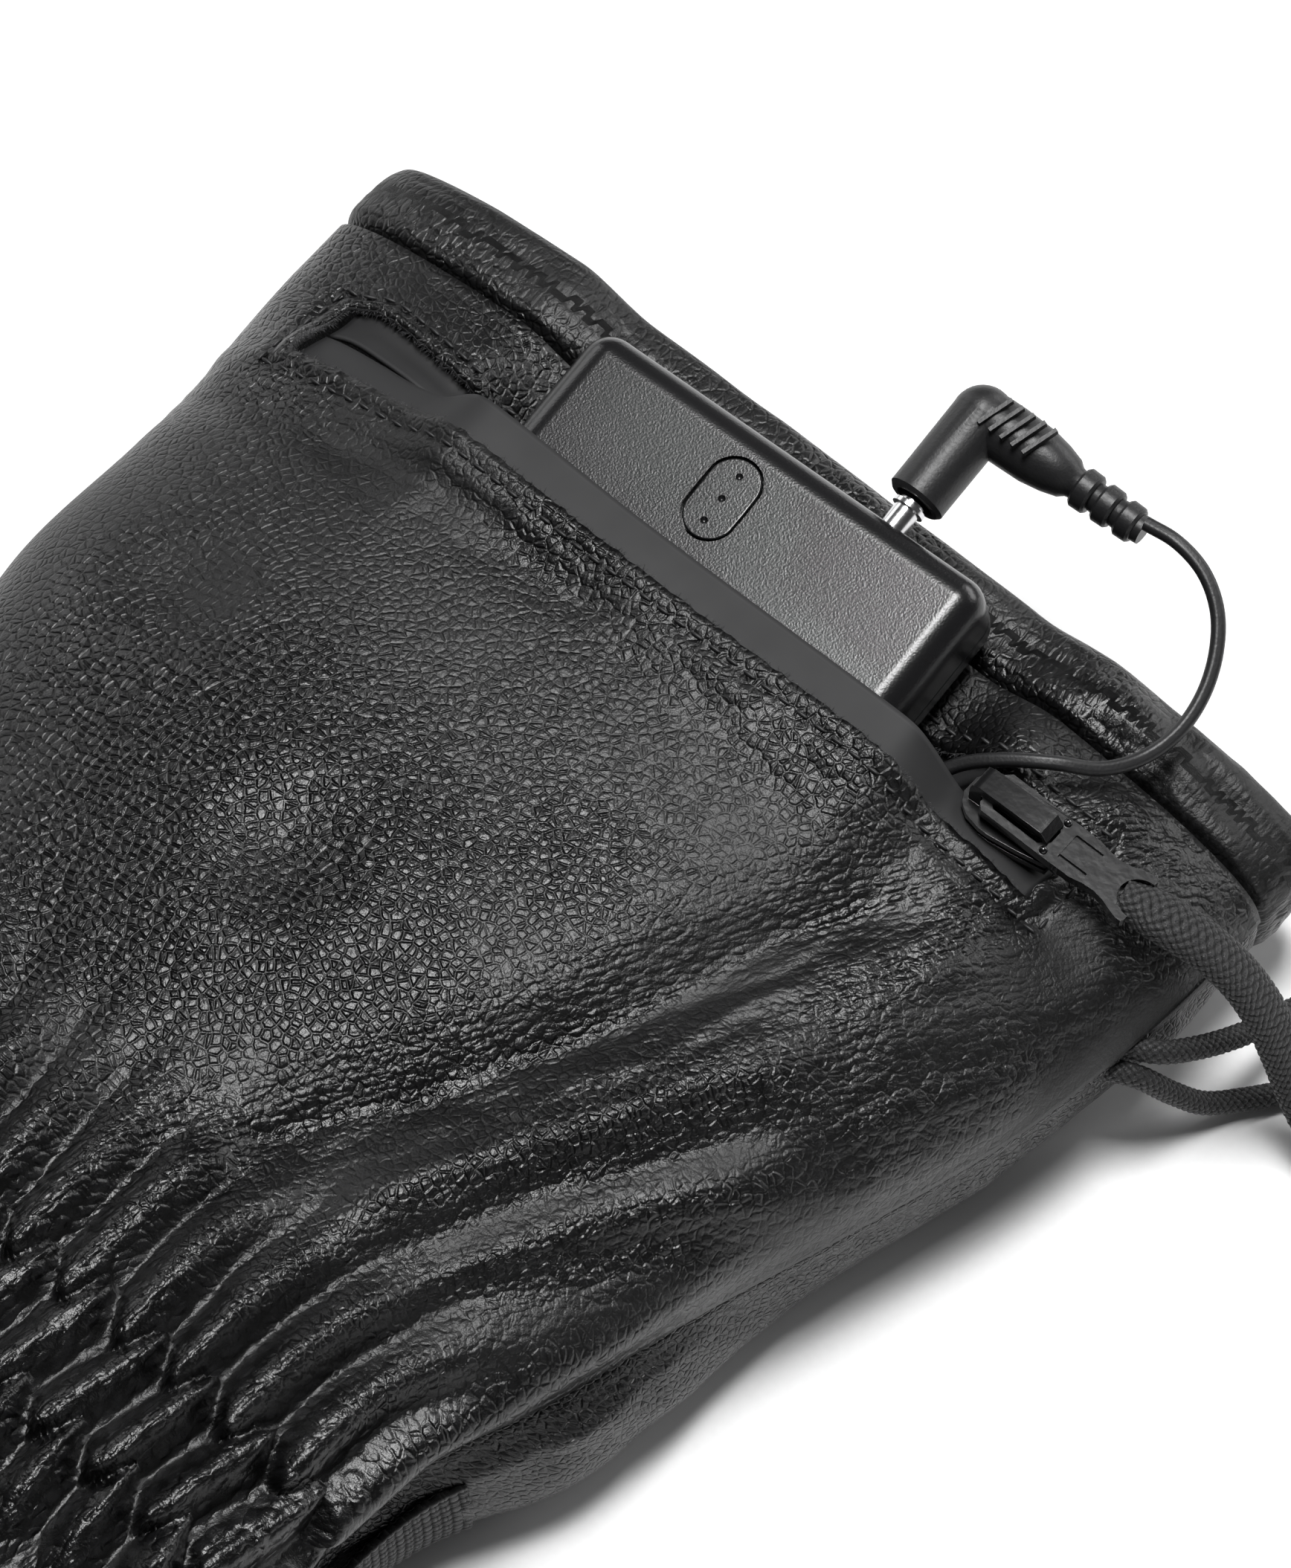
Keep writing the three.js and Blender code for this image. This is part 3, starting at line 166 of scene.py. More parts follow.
def set_inputs(node, links):
    """Gives inputs of a node a value, or links them to a socket or to a node's first output"""
    for name, value in links.items():
        if isinstance(value, bpy.types.Node):
            value = next(output for output in value.outputs if output.enabled)
        if isinstance(value, bpy.types.NodeSocket):
            node.id_data.links.new(value, node.inputs[name])
        else:
            node.inputs[name].default_value = value


def add_node(tree, kind, links=(), **settings):
    """A shader node with its settings and its inputs"""
    made = tree.nodes.new("ShaderNode" + kind)
    for name, value in settings.items():
        setattr(made, name, value)
    set_inputs(made, dict(links))
    return made


def new_material(name, **values):
    """A material with one Principled shader, whose plain values are set on its own sockets, with
    its node tree, that shader, and the Object coordinates that its patterns are laid out by"""
    made = bpy.data.materials.new(name)
    made.use_nodes = True
    shader = made.node_tree.nodes["Principled BSDF"]
    set_inputs(shader, {socket.replace("_", " "): value for socket, value in values.items()})
    return made, made.node_tree, shader, add_node(made.node_tree, "TexCoord").outputs["Object"]


def object_of(name, shape):
    """An object in the scene from a bmesh, which is used up"""
    mesh = bpy.data.meshes.new(name)
    shape.to_mesh(mesh)
    shape.free()
    made = bpy.data.objects.new(name, mesh)
    bpy.context.scene.collection.objects.link(made)
    return made


def add_modifiers(piece, modifiers):
    """Gives an object its modifiers, each one a kind with its settings"""
    for kind, settings in modifiers:
        modifier = piece.modifiers.new(kind.lower(), kind)
        for key, value in settings.items():
            setattr(modifier, key, value)


def finish_piece(name, shape, material, replaces=(), body="glove", sharp=40, modifiers=()):
    """An object from a bmesh, shaded smooth but for edges sharper than an angle in degrees"""
    for face in shape.faces:
        face.smooth = True
    for edge in shape.edges:
        edge.smooth = len(edge.link_faces) < 2 or edge.calc_face_angle(0) < math.radians(sharp)
    piece = object_of(name, shape)
    piece.data.materials.append(material)
    add_modifiers(piece, modifiers)
    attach(piece, body)
    if replaces:
        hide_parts(*replaces)
    return piece


def moulded_pvc():
    """Soft black PVC, moulded in a finely blasted tool: dull with a broad, weak gloss"""
    made, tree, shader, where = new_material("moulded_pvc", Base_Color=linear("#1c1c1d"), IOR=1.5)
    grit = add_node(tree, "TexNoise", {"Vector": where, "Scale": 2600, "Detail": 3})
    shade = add_node(tree, "MapRange", {"Value": grit, "To Min": 0.36, "To Max": 0.5})
    bump = add_node(tree, "Bump", {"Height": grit, "Strength": 0.35, "Distance": 0.0001})
    set_inputs(shader, {"Roughness": shade, "Normal": bump})
    return made


CABLE_ROUTE = [
    (39.9, 154.7, 44.4), (44.5, 155.0, 44.4), (49.3, 154.2, 43.4), (53.4, 151.8, 41.8), (56.4, 148.0, 40),
    (58.4, 143.0, 38.2), (58.9, 137.6, 36.8), (57.6, 132.4, 35.8), (54.8, 127.4, 36.4), (50.0, 123.6, 37.6),
    (44.6, 120.4, 36.6), (40.2, 117.4, 34.4), (37.6, 113.6, 31.8), (36.8, 108.8, 28.6), (35.9, 104.6, 27.2),
]
CABLE_DIAMETER = 1.9
CONDUCTOR_GROOVE = 0.13


def twin_outline(run, angle):
    """Round cable with a shallow groove between its two conductors"""
    radius = CABLE_DIAMETER / 2 - CONDUCTOR_GROOVE * np.abs(np.sin(angle)) ** 12
    return radius * np.cos(angle), radius * np.sin(angle)


def cord_shape(line, sides, outline, level=False, **layers):
    """A cord swept along a line, closed at both ends"""
    return surface(metres(sweep(line, sides, outline, level)), round_=True, capped=True, **layers)


pvc = moulded_pvc()
cable_line = smooth_route(CABLE_ROUTE[::-1], spacing=0.8)
cable = finish_piece("battery_cable_pvc", cord_shape(cable_line, 24, twin_outline), pvc,
                     ["battery_cable"])


# The round cord at the side seam is a loop of braided polyester, 3 mm thick, sewn in at both ends.
# Its sixteen strands, eight each way, pass over and under each other, on a fine tube.
def braid_height(turns, run, strands, pitch):
    """Height from 0 to 1 of a braid's strands. turns is the place round the cord"""
    one = strands * turns + strands * run / pitch
    other = strands * turns - strands * run / pitch
    over = (np.floor(one) + np.floor(other)) % 2 == 0
    place_across = np.where(over, one, other) % 1 * 2 - 1
    place_along = np.where(over, other, one) % 1 * 2 - 1
    return np.sqrt(np.clip(1 - 0.9 * place_across**2, 0, 1)) * (1 - 0.35 * place_along**2)


def braid_crest(line, sides, strands, pitch):
    """The braid's height at each vertex of a swept cord"""
    return braid_height(np.linspace(0, 1, sides + 1)[None, :], run_along(line)[:, None], strands, pitch)


def strand_relief(run, angle, strands, pitch):
    """How far a cord's strands stand out of its mean outline, in millimetres"""
    return STRAND_RELIEF * (braid_height(angle / (2 * math.pi), run, strands, pitch) - 0.8)


def yarn_colour_and_gap_shade(tree, shader, yarn, dark, light):
    """Colour of yarn on a weave, with painted shade: its tone on the crests, where it also shines, fading
    to near black in the gaps between them
    """
    crest = add_node(tree, "Attribute", attribute_name="crest").outputs["Fac"]
    raised = add_node(tree, "MapRange", {"Value": crest, "From Min": 0.4, "From Max": 0.85})
    tone = add_node(tree, "Mix", {"Factor": yarn, "A": linear(dark), "B": linear(light)}, data_type="RGBA")
    # Painted shade: near black where the crest attribute is low, in the gaps between yarns
    shade = add_node(tree, "Mix", {"Factor": raised, "A": linear("#010101"), "B": tone}, data_type="RGBA")
    dull = add_node(tree, "MapRange", {"Value": raised, "To Min": 0.95, "To Max": 0.42})
    set_inputs(shader, {"Base Color": shade, "Roughness": dull})


def braided_polyester():
    """Dull black polyester yarn: fine filaments run along each strand and catch a soft sheen, with painted
    shade in the gaps between strands
    """
    made, tree, shader, where = new_material("braided_polyester", IOR=1.5, Sheen_Weight=0.05,
                                             Sheen_Roughness=0.5)
    yarn = add_node(tree, "TexNoise", {"Vector": where, "Scale": 4200, "Detail": 2})
    yarn_colour_and_gap_shade(tree, shader, yarn, "#0c0c0d", "#2c2c2d")
    bump = add_node(tree, "Bump", {"Height": yarn, "Strength": 0.9, "Distance": 0.0002})
    set_inputs(shader, {"Normal": bump})
    return made


SIDE_CORD_ROUTE = [
    (74.6, 103.4, 17.0), (78.4, 106.0, 15.4), (81.6, 109.6, 9.6), (84.4, 113.4, 4.6), (87.4, 118.2, 2.2),
    (91.6, 123.8, 1.6), (97.0, 129.2, 1.6), (102.6, 134.0, 1.6), (106.4, 139.6, 1.6), (105.4, 145.6, 1.6),
    (100.2, 148.8, 1.6), (94.2, 147.4, 1.8), (89.8, 142.4, 3.4), (87.2, 135.6, 5.6), (85.4, 128.4, 8.0),
    (83.6, 120.6, 11.2), (81.2, 113.6, 15.0), (78.8, 109.4, 17.4), (75.2, 107.0, 18.4),
]
SIDE_CORD_DIAMETER = 3.0
SIDE_CORD_STRANDS = 8
SIDE_CORD_PITCH = 9.0
STRAND_RELIEF = 0.4


def side_cord_outline(run, angle):
    """Round outline with the strands' relief"""
    radius = SIDE_CORD_DIAMETER / 2 + strand_relief(run, angle, SIDE_CORD_STRANDS, SIDE_CORD_PITCH)
    return radius * np.cos(angle), radius * np.sin(angle)


polyester = braided_polyester()
side_line = smooth_route(SIDE_CORD_ROUTE, spacing=0.2)
side_crest = braid_crest(side_line, 56, SIDE_CORD_STRANDS, SIDE_CORD_PITCH)
side_shape = cord_shape(side_line, 56, side_cord_outline, crest=side_crest)
side_cord = finish_piece("side_cord_braid", side_shape, polyester, ["side_cord"], sharp=180)


# The cord on the zip puller is a flat braid, 6.6 mm wide, drawn through the puller's eye and laid
# over the cuff's side. Its far end is held in a small moulded end.
ZIP_CORD_ROUTE = [
    (67.6, 114.6, 36.7), (70.7, 115.2, 36.5), (74.2, 115.9, 35.8), (78.4, 117.2, 33.4), (82.8, 118.6, 29.2),
    (86.6, 119.4, 23.8), (89.8, 119.7, 17.8), (93.0, 119.6, 12.0), (97.4, 118.8, 7.4), (102.8, 117.6, 4.2),
    (108.8, 116.2, 2.4), (114.6, 114.9, 1.9),
]
ZIP_CORD_WIDTH = 6.6
ZIP_CORD_THICKNESS = 2.8
ZIP_CORD_STRANDS = 12
ZIP_CORD_PITCH = 15.0


def squared_off(wave, power):
    """A sine or cosine with its sign kept, raised to a power, for the outline of a rounded box"""
    return np.sign(wave) * np.abs(wave) ** power


def zip_cord_outline(run, angle):
    """Flat oval that narrows where the puller grips it"""
    relief = strand_relief(run, angle, ZIP_CORD_STRANDS, ZIP_CORD_PITCH)
    wide = ZIP_CORD_WIDTH / 2 * (1 - 0.28 * math.exp(-((run / 3) ** 2)))
    return (squared_off(np.cos(angle), 2 / 2.6) * (wide + relief),
            squared_off(np.sin(angle), 2 / 2.6) * (ZIP_CORD_THICKNESS / 2 + relief))


zip_cord_line = smooth_route(ZIP_CORD_ROUTE, spacing=0.17)
zip_crest = braid_crest(zip_cord_line, 96, ZIP_CORD_STRANDS, ZIP_CORD_PITCH)
zip_cord_shape = cord_shape(zip_cord_line, 96, zip_cord_outline, level=True, crest=zip_crest)
zip_cord = finish_piece("zip_cord_braid", zip_cord_shape, polyester, ["zip_cord"], sharp=180)


def cad_copy(node):
    """A bmesh of a CAD node with its loose triangles joined"""
    shape = bmesh.new()
    shape.from_mesh(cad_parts[node].data)
    bmesh.ops.remove_doubles(shape, verts=shape.verts, dist=2e-6)
    return shape


end_shape = cad_copy("zip_cord_end")
bmesh.ops.dissolve_limit(end_shape, angle_limit=math.radians(1), verts=end_shape.verts,
                         edges=end_shape.edges)
round_edges = ("BEVEL", {"width": 0.0004, "segments": 3, "limit_method": "ANGLE"})
cord_end = finish_piece("zip_cord_end_moulded", end_shape, pvc, ["zip_cord_end"],
                        sharp=60, modifiers=[round_edges])


# Floor and light. The glove lies on white background paper under a soft box a little behind it,
# with weaker ones round it, so that the leather's ridges shine and its valleys stay black.
def white_paper():
    """Matt white background paper, almost without tooth"""
    made, tree, shader, where = new_material("white_paper", Roughness=0.95)
    tooth = add_node(tree, "TexNoise", {"Vector": where, "Scale": 900, "Detail": 3})
    tone = add_node(tree, "Mix", {"Factor": tooth, "A": linear("#f4f4f4"), "B": linear("#fbfbfb")},
                    data_type="RGBA")
    set_inputs(shader, {"Base Color": tone})
    return made


floor_shape = bmesh.new()
bmesh.ops.create_grid(floor_shape, x_segments=1, y_segments=1, size=4)
bmesh.ops.translate(floor_shape, verts=floor_shape.verts, vec=(0, 0, -0.0002))
floor = object_of("floor", floor_shape)
floor.data.materials.append(white_paper())


def soft_box(name, direction, distance, size, watts):
    """An area light that looks at the cuff from a direction"""
    light = bpy.data.lights.new(name, "AREA")
    light.shape = "RECTANGLE"
    light.size, light.size_y = size
    light.energy = watts
    lamp = bpy.data.objects.new(name, light)
    bpy.context.scene.collection.objects.link(lamp)
    towards = Vector(direction).normalized()
    lamp.location = place(5, 80, 20) + towards * distance
    lamp.rotation_euler = (-towards).to_track_quat("-Z", "Y").to_euler()


soft_box("soft_box_key", (-0.055, 0.12, 0.98), 1.25, (0.42, 0.5), 19)
soft_box("soft_box_back", (0.25, 0.9, 0.4), 1.3, (1.0, 0.4), 6)
soft_box("soft_box_left", (-0.95, 0.25, 0.35), 1.4, (0.6, 0.6), 2.5)
soft_box("soft_box_right", (0.9, -0.35, 0.25), 1.4, (0.8, 0.3), 0.9)
world = bpy.data.worlds.new("studio")
world.use_nodes = True
set_inputs(world.node_tree.nodes["Background"], {"Color": linear("#e8e8ea"), "Strength": 0.06})
bpy.context.scene.world = world
bpy.context.scene.view_settings.view_transform = "Standard"


# The battery is a flat box of black ABS, tilted as it leans on the strip between slot and hem. Its
# shell is moulded in a spark-eroded tool, with wide round edges and one fine parting line.
BATTERY_SIZE = (63.5, 48, 14)
BATTERY_ROUNDING = 4
BATTERY_TILT = math.radians(13.5)
PARTING_HEIGHT = -1.2
PARTING_WIDTH = 0.32
PARTING_DEPTH = 0.14
battery_middle = (battery_low + battery_high) / 2
in_battery = (Matrix.Translation(battery_middle) @ Matrix.Rotation(BATTERY_TILT, 4, "X")
              @ Matrix.Scale(0.001, 4))
BUTTON_SIZE = (7.2, 11.8)
BUTTON_PLACE = (-3.5, 13.55)
BUTTON_DEPTH = 1.4
BUTTON_GROOVE = 0.3
LIGHT_MARKS = (-3.55, 0, 3.55)
JACK_X = 14
JACK_RADIUS = 1.75


def moulded_abs():
    """Black ABS from a spark-eroded tool: a fine even grit that breaks the gloss into sparkle"""
    made, tree, shader, where = new_material("moulded_abs", Base_Color=linear("#161617"), IOR=1.53)
    grit = add_node(tree, "TexNoise", {"Vector": where, "Scale": 3600, "Detail": 2})
    haze = add_node(tree, "TexNoise", {"Vector": where, "Scale": 45, "Detail": 4})
    shine = add_node(tree, "MapRange", {"Value": haze, "From Min": 0.3, "From Max": 0.7,
                                        "To Min": 0.24, "To Max": 0.27})
    bump = add_node(tree, "Bump", {"Height": grit, "Strength": 0.5, "Distance": 0.00006})
    set_inputs(shader, {"Roughness": shine, "Normal": bump})
    return made


def raised_plate(shape, height):
    """A flat shape on z = 0 made a solid of that height"""
    top = bmesh.ops.extrude_face_region(shape, geom=shape.faces[:])["geom"]
    bmesh.ops.translate(shape, verts=[g for g in top if isinstance(g, bmesh.types.BMVert)],
                        vec=(0, 0, height))
    bmesh.ops.recalc_face_normals(shape, faces=shape.faces)
    return shape


def pill(width, length, height, segments=40):
    """Solid of a pill-shaped outline from z = 0 up"""
    shape = bmesh.new()
    bmesh.ops.create_circle(shape, cap_ends=True, segments=segments, radius=width / 2)
    for v in shape.verts:
        v.co.y += math.copysign((length - width) / 2, v.co.y) if abs(v.co.y) > 1e-6 else 0
    return raised_plate(shape, height)


def discard(spent):
    """Removes an object and its mesh"""
    mesh = spent.data
    bpy.data.objects.remove(spent)
    bpy.data.meshes.remove(mesh)


def applied(shape, modifiers):
    """A bmesh with modifiers applied to it"""
    holder = object_of("holder", shape)
    add_modifiers(holder, modifiers)
    bpy.context.view_layer.update()
    result = bmesh.new()
    result.from_mesh(holder.evaluated_get(bpy.context.evaluated_depsgraph_get()).to_mesh())
    discard(holder)
    return result


def boolean(shape, cutters, operation="DIFFERENCE"):
    """A bmesh cut by, or joined to, other bmeshes"""
    tools = [object_of("cutter", cutter) for cutter in cutters]
    result = applied(shape, [("BOOLEAN", {"operation": operation, "solver": "EXACT", "object": tool})
                             for tool in tools])
    for tool in tools:
        discard(tool)
    return result


def moved(shape, matrix):
    """A bmesh turned and put in its place"""
    bmesh.ops.transform(shape, matrix=matrix, verts=shape.verts)
    return shape


def battery_shape():
    """Rounded box with its parting line, the button's recess and the jack's bore"""
    shape = bmesh.new()
    bmesh.ops.create_cube(shape, size=1)
    bmesh.ops.scale(shape, verts=shape.verts, vec=BATTERY_SIZE)
    bmesh.ops.bevel(shape, geom=shape.edges[:], offset=BATTERY_ROUNDING, segments=9, profile=0.5,
                    affect="EDGES", material=-1)
    for across in (-PARTING_WIDTH / 2, 0, PARTING_WIDTH / 2):
        bmesh.ops.bisect_plane(shape, geom=shape.verts[:] + shape.edges[:] + shape.faces[:],
                               plane_co=(0, 0, PARTING_HEIGHT + across), plane_no=(0, 0, 1))
    shape.normal_update()
    for v in [v for v in shape.verts if abs(v.co.z - PARTING_HEIGHT) < 1e-4]:
        v.co -= v.normal * PARTING_DEPTH
    recess = pill(BUTTON_SIZE[0] + 2 * BUTTON_GROOVE, BUTTON_SIZE[1] + 2 * BUTTON_GROOVE, 4)
    bmesh.ops.translate(recess, verts=recess.verts,
                        vec=(*BUTTON_PLACE, BATTERY_SIZE[2] / 2 - BUTTON_DEPTH - 0.8))
    bore = bmesh.new()
    bmesh.ops.create_cone(bore, cap_ends=True, segments=32, radius1=JACK_RADIUS + 0.4,
                          radius2=JACK_RADIUS + 0.4, depth=16)
    bmesh.ops.rotate(bore, verts=bore.verts, matrix=Matrix.Rotation(math.pi / 2, 3, "X"))
    bmesh.ops.translate(bore, verts=bore.verts, vec=(JACK_X, BATTERY_SIZE[1] / 2, 0))
    return moved(boolean(shape, [recess, bore]), in_battery)


flat_faces = ("WEIGHTED_NORMAL", {"keep_sharp": True, "weight": 60})
abs_shell = moulded_abs()
finish_piece("battery_shell", battery_shape(), abs_shell, ["battery"], sharp=30,
             modifiers=[flat_faces])


# The push button is a pill of the same ABS, level with the shell inside a fine groove, with three
# drilled marks for the charge lights.
def button_shape():
    """Pill with a rounded rim and its drilled marks"""
    shape = pill(*BUTTON_SIZE, BUTTON_DEPTH)
    rim = [e for e in shape.edges if all(v.co.z > BUTTON_DEPTH - 1e-5 for v in e.verts)]
    bmesh.ops.bevel(shape, geom=rim, offset=0.25, segments=3, profile=0.5, affect="EDGES", material=-1)
    dots = []
    for along in LIGHT_MARKS:
        dot = bmesh.new()
        bmesh.ops.create_uvsphere(dot, u_segments=20, v_segments=12, radius=0.5)
        bmesh.ops.translate(dot, verts=dot.verts, vec=(0, along, BUTTON_DEPTH + 0.02))
        dots.append(dot)
    lift = (*BUTTON_PLACE, BATTERY_SIZE[2] / 2 - BUTTON_DEPTH)
    return moved(boolean(shape, dots), in_battery @ Matrix.Translation(lift))


finish_piece("button_cap", button_shape(), abs_shell, ["battery_button"],
             body="button", sharp=30, modifiers=[flat_faces])


# The plug is a right-angle DC plug: a nickel-plated barrel in a moulded PVC body, whose arm has
# slanted grip ribs and a strain relief cut into rings.
PLUG_RADIUS = 4
PLUG_MOUTH = 29
PLUG_REACH = 14
PLUG_ARM = 25.4
ARM_TURN = math.radians(4)


def lathe(profile, steps=32):
    """Solid of revolution about Z from (radius, height) pairs that start and end on the axis"""
    shape = bmesh.new()
    verts = [shape.verts.new((r, 0, z)) for r, z in profile]
    edges = [shape.edges.new(pair) for pair in zip(verts, verts[1:])]
    bmesh.ops.spin(shape, geom=verts + edges, cent=(0, 0, 0), axis=(0, 0, 1), angle=2 * math.pi,
                   steps=steps, use_merge=True)
    bmesh.ops.remove_doubles(shape, verts=shape.verts, dist=1e-5)
    bmesh.ops.recalc_face_normals(shape, faces=shape.faces)
    return shape


def arm_profile():
    """Arm from the elbow to the cable: a round body, then three thick rings with necks between"""
    points = [(0, -1), (PLUG_RADIUS * 0.98, -1), (PLUG_RADIUS * 1.02, 4), (PLUG_RADIUS * 0.98, 8.6),
              (PLUG_RADIUS * 0.86, 11.4), (PLUG_RADIUS * 0.7, 13.6), (PLUG_RADIUS * 0.54, 14.4)]
    ring_start, ring_length, neck = 15.2, 2.5, 0.85
    for n in range(3):
        outer = PLUG_RADIUS * (0.7 - 0.03 * n)
        start = ring_start + n * (ring_length + neck)
        points += [(PLUG_RADIUS * 0.5, start), (outer - 0.3, start + 0.05), (outer, start + 0.4),
                   (outer - 0.05, start + ring_length - 0.4), (outer - 0.35, start + ring_length - 0.05),
                   (PLUG_RADIUS * 0.48, start + ring_length)]
    return [*points, (PLUG_RADIUS * 0.46, PLUG_ARM), (0, PLUG_ARM)]


def plug_shape():
    """Stem and arm on a round knee, with slanted grip ribs on the arm"""
    elbow = Matrix.Translation((JACK_X, PLUG_MOUTH + PLUG_REACH, 0))
    arm = moved(lathe(arm_profile()),
                elbow @ Matrix.Rotation(ARM_TURN, 4, "Y") @ Matrix.Rotation(math.pi / 2, 4, "Y"))
    stem = moved(lathe([(0, 0.9), (2.6, 0.9), (2.7, 0), (3.5, 0), (PLUG_RADIUS, 0.5), (PLUG_RADIUS, 3),
                        (PLUG_RADIUS * 1.02, PLUG_REACH), (0, PLUG_REACH)]),
                 Matrix.Translation((JACK_X, PLUG_MOUTH, 0)) @ Matrix.Rotation(-math.pi / 2, 4, "X"))
    knee = bmesh.new()
    bmesh.ops.create_uvsphere(knee, u_segments=32, v_segments=20, radius=PLUG_RADIUS * 1.03)
    knee = moved(knee, elbow)
    ribs = []
    for n in range(5):
        rib = bmesh.new()
        bmesh.ops.create_cube(rib, size=1)
        bmesh.ops.scale(rib, verts=rib.verts, vec=(0.55, 5.2, 1.0))
        bmesh.ops.rotate(rib, verts=rib.verts, matrix=Matrix.Rotation(math.radians(-18), 3, "Z"))
        bmesh.ops.translate(rib, verts=rib.verts, vec=(JACK_X + 2.2 + 1.75 * n,
                                                       PLUG_MOUTH + PLUG_REACH + 0.4, PLUG_RADIUS * 0.98))
        ribs.append(rib)
    return moved(boolean(boolean(arm, [stem, knee], "UNION"), ribs, "UNION"), in_battery)


plug = finish_piece("plug_body", plug_shape(), pvc, ["plug"], sharp=32,
                    modifiers=[("BEVEL", {"width": 0.00012, "segments": 2, "limit_method": "ANGLE"})])


def nickel_plate():
    """Bright nickel on turned brass: clean, with faint turning rings"""
    made, tree, shader, where = new_material("nickel_plate", Base_Color=linear("#d9d9da"), Metallic=1.0)
    rings = add_node(tree, "TexNoise", {"Vector": where, "Scale": 2400})
    shine = add_node(tree, "MapRange", {"Value": rings, "To Min": 0.16, "To Max": 0.3})
    set_inputs(shader, {"Roughness": shine})
    return made


barrel_shape = lathe([(0, 0), (1.5, 0), (JACK_RADIUS, 0.25), (JACK_RADIUS, 10.6), (2.3, 10.6),
                      (2.3, 11.2), (JACK_RADIUS, 11.2), (JACK_RADIUS, 11.7), (0, 11.7)])
barrel_shape = moved(barrel_shape, in_battery @ Matrix.Translation((JACK_X, 17, 0))
                     @ Matrix.Rotation(-math.pi / 2, 4, "X"))
barrel = finish_piece("plug_barrel_nickel", barrel_shape, nickel_plate(), ["plug_barrel"])


# Back of the cuff: one panel of full-grain leather from the wrist to the hem, drawn in by two rows
# of zigzag elastic stitching at the wrist, with a slot cut for the battery's pocket.
CUFF_LENGTH = 146
CUFF_WIDTH = 156
GLOVE_HEIGHT = 42
WRIST_WIDTH = 93
BACK_ARCH = 2.4
SEAM_HEIGHT = 20
SIDE_BULGE = 5
HEM_WIDTH = 12.4
HEM_SEAM = CUFF_LENGTH - HEM_WIDTH
MOUTH_SLANT = 6
BATTERY_FAR = 135
BATTERY_TOP = 45
SLOT_WIDTH = 13
SLOT_LINE = HEM_SEAM - 24
SLOT_LEFT, SLOT_RIGHT = -64.2, 58.8
STITCH_INSET = 2.6
LEATHER_THICKNESS = 0.0014
# The folds on the right run 28 degrees off the glove's length
PULL_ACROSS, PULL_ALONG = 0.883, 0.469

# Share of the length, how far the left and the right side have opened, seam height and side bulge
CUFF_SECTIONS = [
    (-0.29, 0.05, 0.03, 1.2, 0.1), (-0.1, 0, -0.03, 1.25, 0.1), (0.03, 0.07, 0, 1.25, 0.5),
    (0.16, 0.33, 0.21, 1.15, 1.1), (0.31, 0.67, 0.4, 1.05, 1), (0.46, 0.88, 0.63, 1, 0.7),
    (0.61, 0.88, 0.845, 1, 0.4), (0.73, 0.92, 0.94, 1, 0.45), (0.82, 0.97, 0.98, 1, 0.5),
    (0.92, 1, 1, 1, 0.3), (1, 1, 1, 1, 0.3),
]
# Place across the slot, its lower edge above the slot's line and its width
SLOT_TABLE = [(-64.2, 0.26, 11), (-60, 0.3, 12.6), (-54, 0.4, 12.1), (-45, 0.6, 10.8), (-36, 0.78, 10.6),
              (-27, 0.6, 13), (-7.2, 0, 13), (30, 0, 13), (58.8, 0, 11.7)]

# Points of each fold with its height and width in millimetres. Heights below zero are valleys.
FOLDS = [
    ([(-78, 100), (-41.3, 102.6), (-21.1, 102.9), (1.6, 102.2)], -1.3, 4.2),
    ([(-54.6, 108), (-7.8, 106.6), (27.3, 103.7)], 0.9, 3.6),
    ([(51.5, 103.7), (40.2, 83.7), (33, 62.9), (24.4, 44.2), (14.6, 27.4), (3.1, 14.6)], -3.45, 6.6),
    ([(23.4, 17.2), (36.1, 45), (56.6, 78.5)], 2.7, 5.4),
    ([(28.9, 14.3), (40.1, 40.2), (57.3, 69.2)], -1.5, 4.2),
    ([(35.4, 17.5), (48.4, 43.9), (61.9, 69.2)], 2.7, 4.8),
    ([(34.3, 10.3), (45.4, 33.9), (58, 54.4)], -1.8, 4.2),
    ([(46.8, 14.6), (65.8, 52)], 2.1, 4.8),
    ([(32.8, 48.8), (59.5, 105.2)], 1.05, 4.2),
    ([(-48.4, 73), (-11.7, 52.6)], 2.4, 24),
    ([(-27.3, 8.8), (-42.9, 35)], 2.1, 4.8),
    ([(-37.4, 8.8), (-56.2, 38)], -1.5, 4.8),
    ([(49.9, 128.5), (65.5, 122.6)], 3.9, 8.4),
    ([(51.5, 111), (74.1, 106.6)], -3.3, 9.6),
]


def table_curve(table, at, k):
    """Smooth curve through column k of a table whose column 0 is the place, level past its ends"""
    rows = np.asarray(table, float)
    x, y, last = rows[:, 0], rows[:, k], len(rows) - 1
    at = np.clip(at, x[0], x[-1])
    i = np.clip(np.searchsorted(x, at) - 1, 0, last - 1)
    before, after = np.maximum(i - 1, 0), np.minimum(i + 2, last)
    span = x[i + 1] - x[i]
    t = (at - x[i]) / span
    leave = span * (y[i + 1] - y[before]) / np.maximum(x[i + 1] - x[before], span)
    arrive = span * (y[after] - y[i]) / np.maximum(x[after] - x[i], span)
    return ((2 * t**3 - 3 * t**2 + 1) * y[i] + (t**3 - 2 * t**2 + t) * leave
            + (3 * t**2 - 2 * t**3) * y[i + 1] + (t**3 - t**2) * arrive)


def smoothstep(value, low, high):
    """Smooth step from 0 at low to 1 at high"""
    t = np.clip((value - low) / (high - low), 0, 1)
    return t * t * (3 - 2 * t)


def mix(a, b, share):
    """From a at share 0 to b at share 1"""
    return a + (b - a) * share


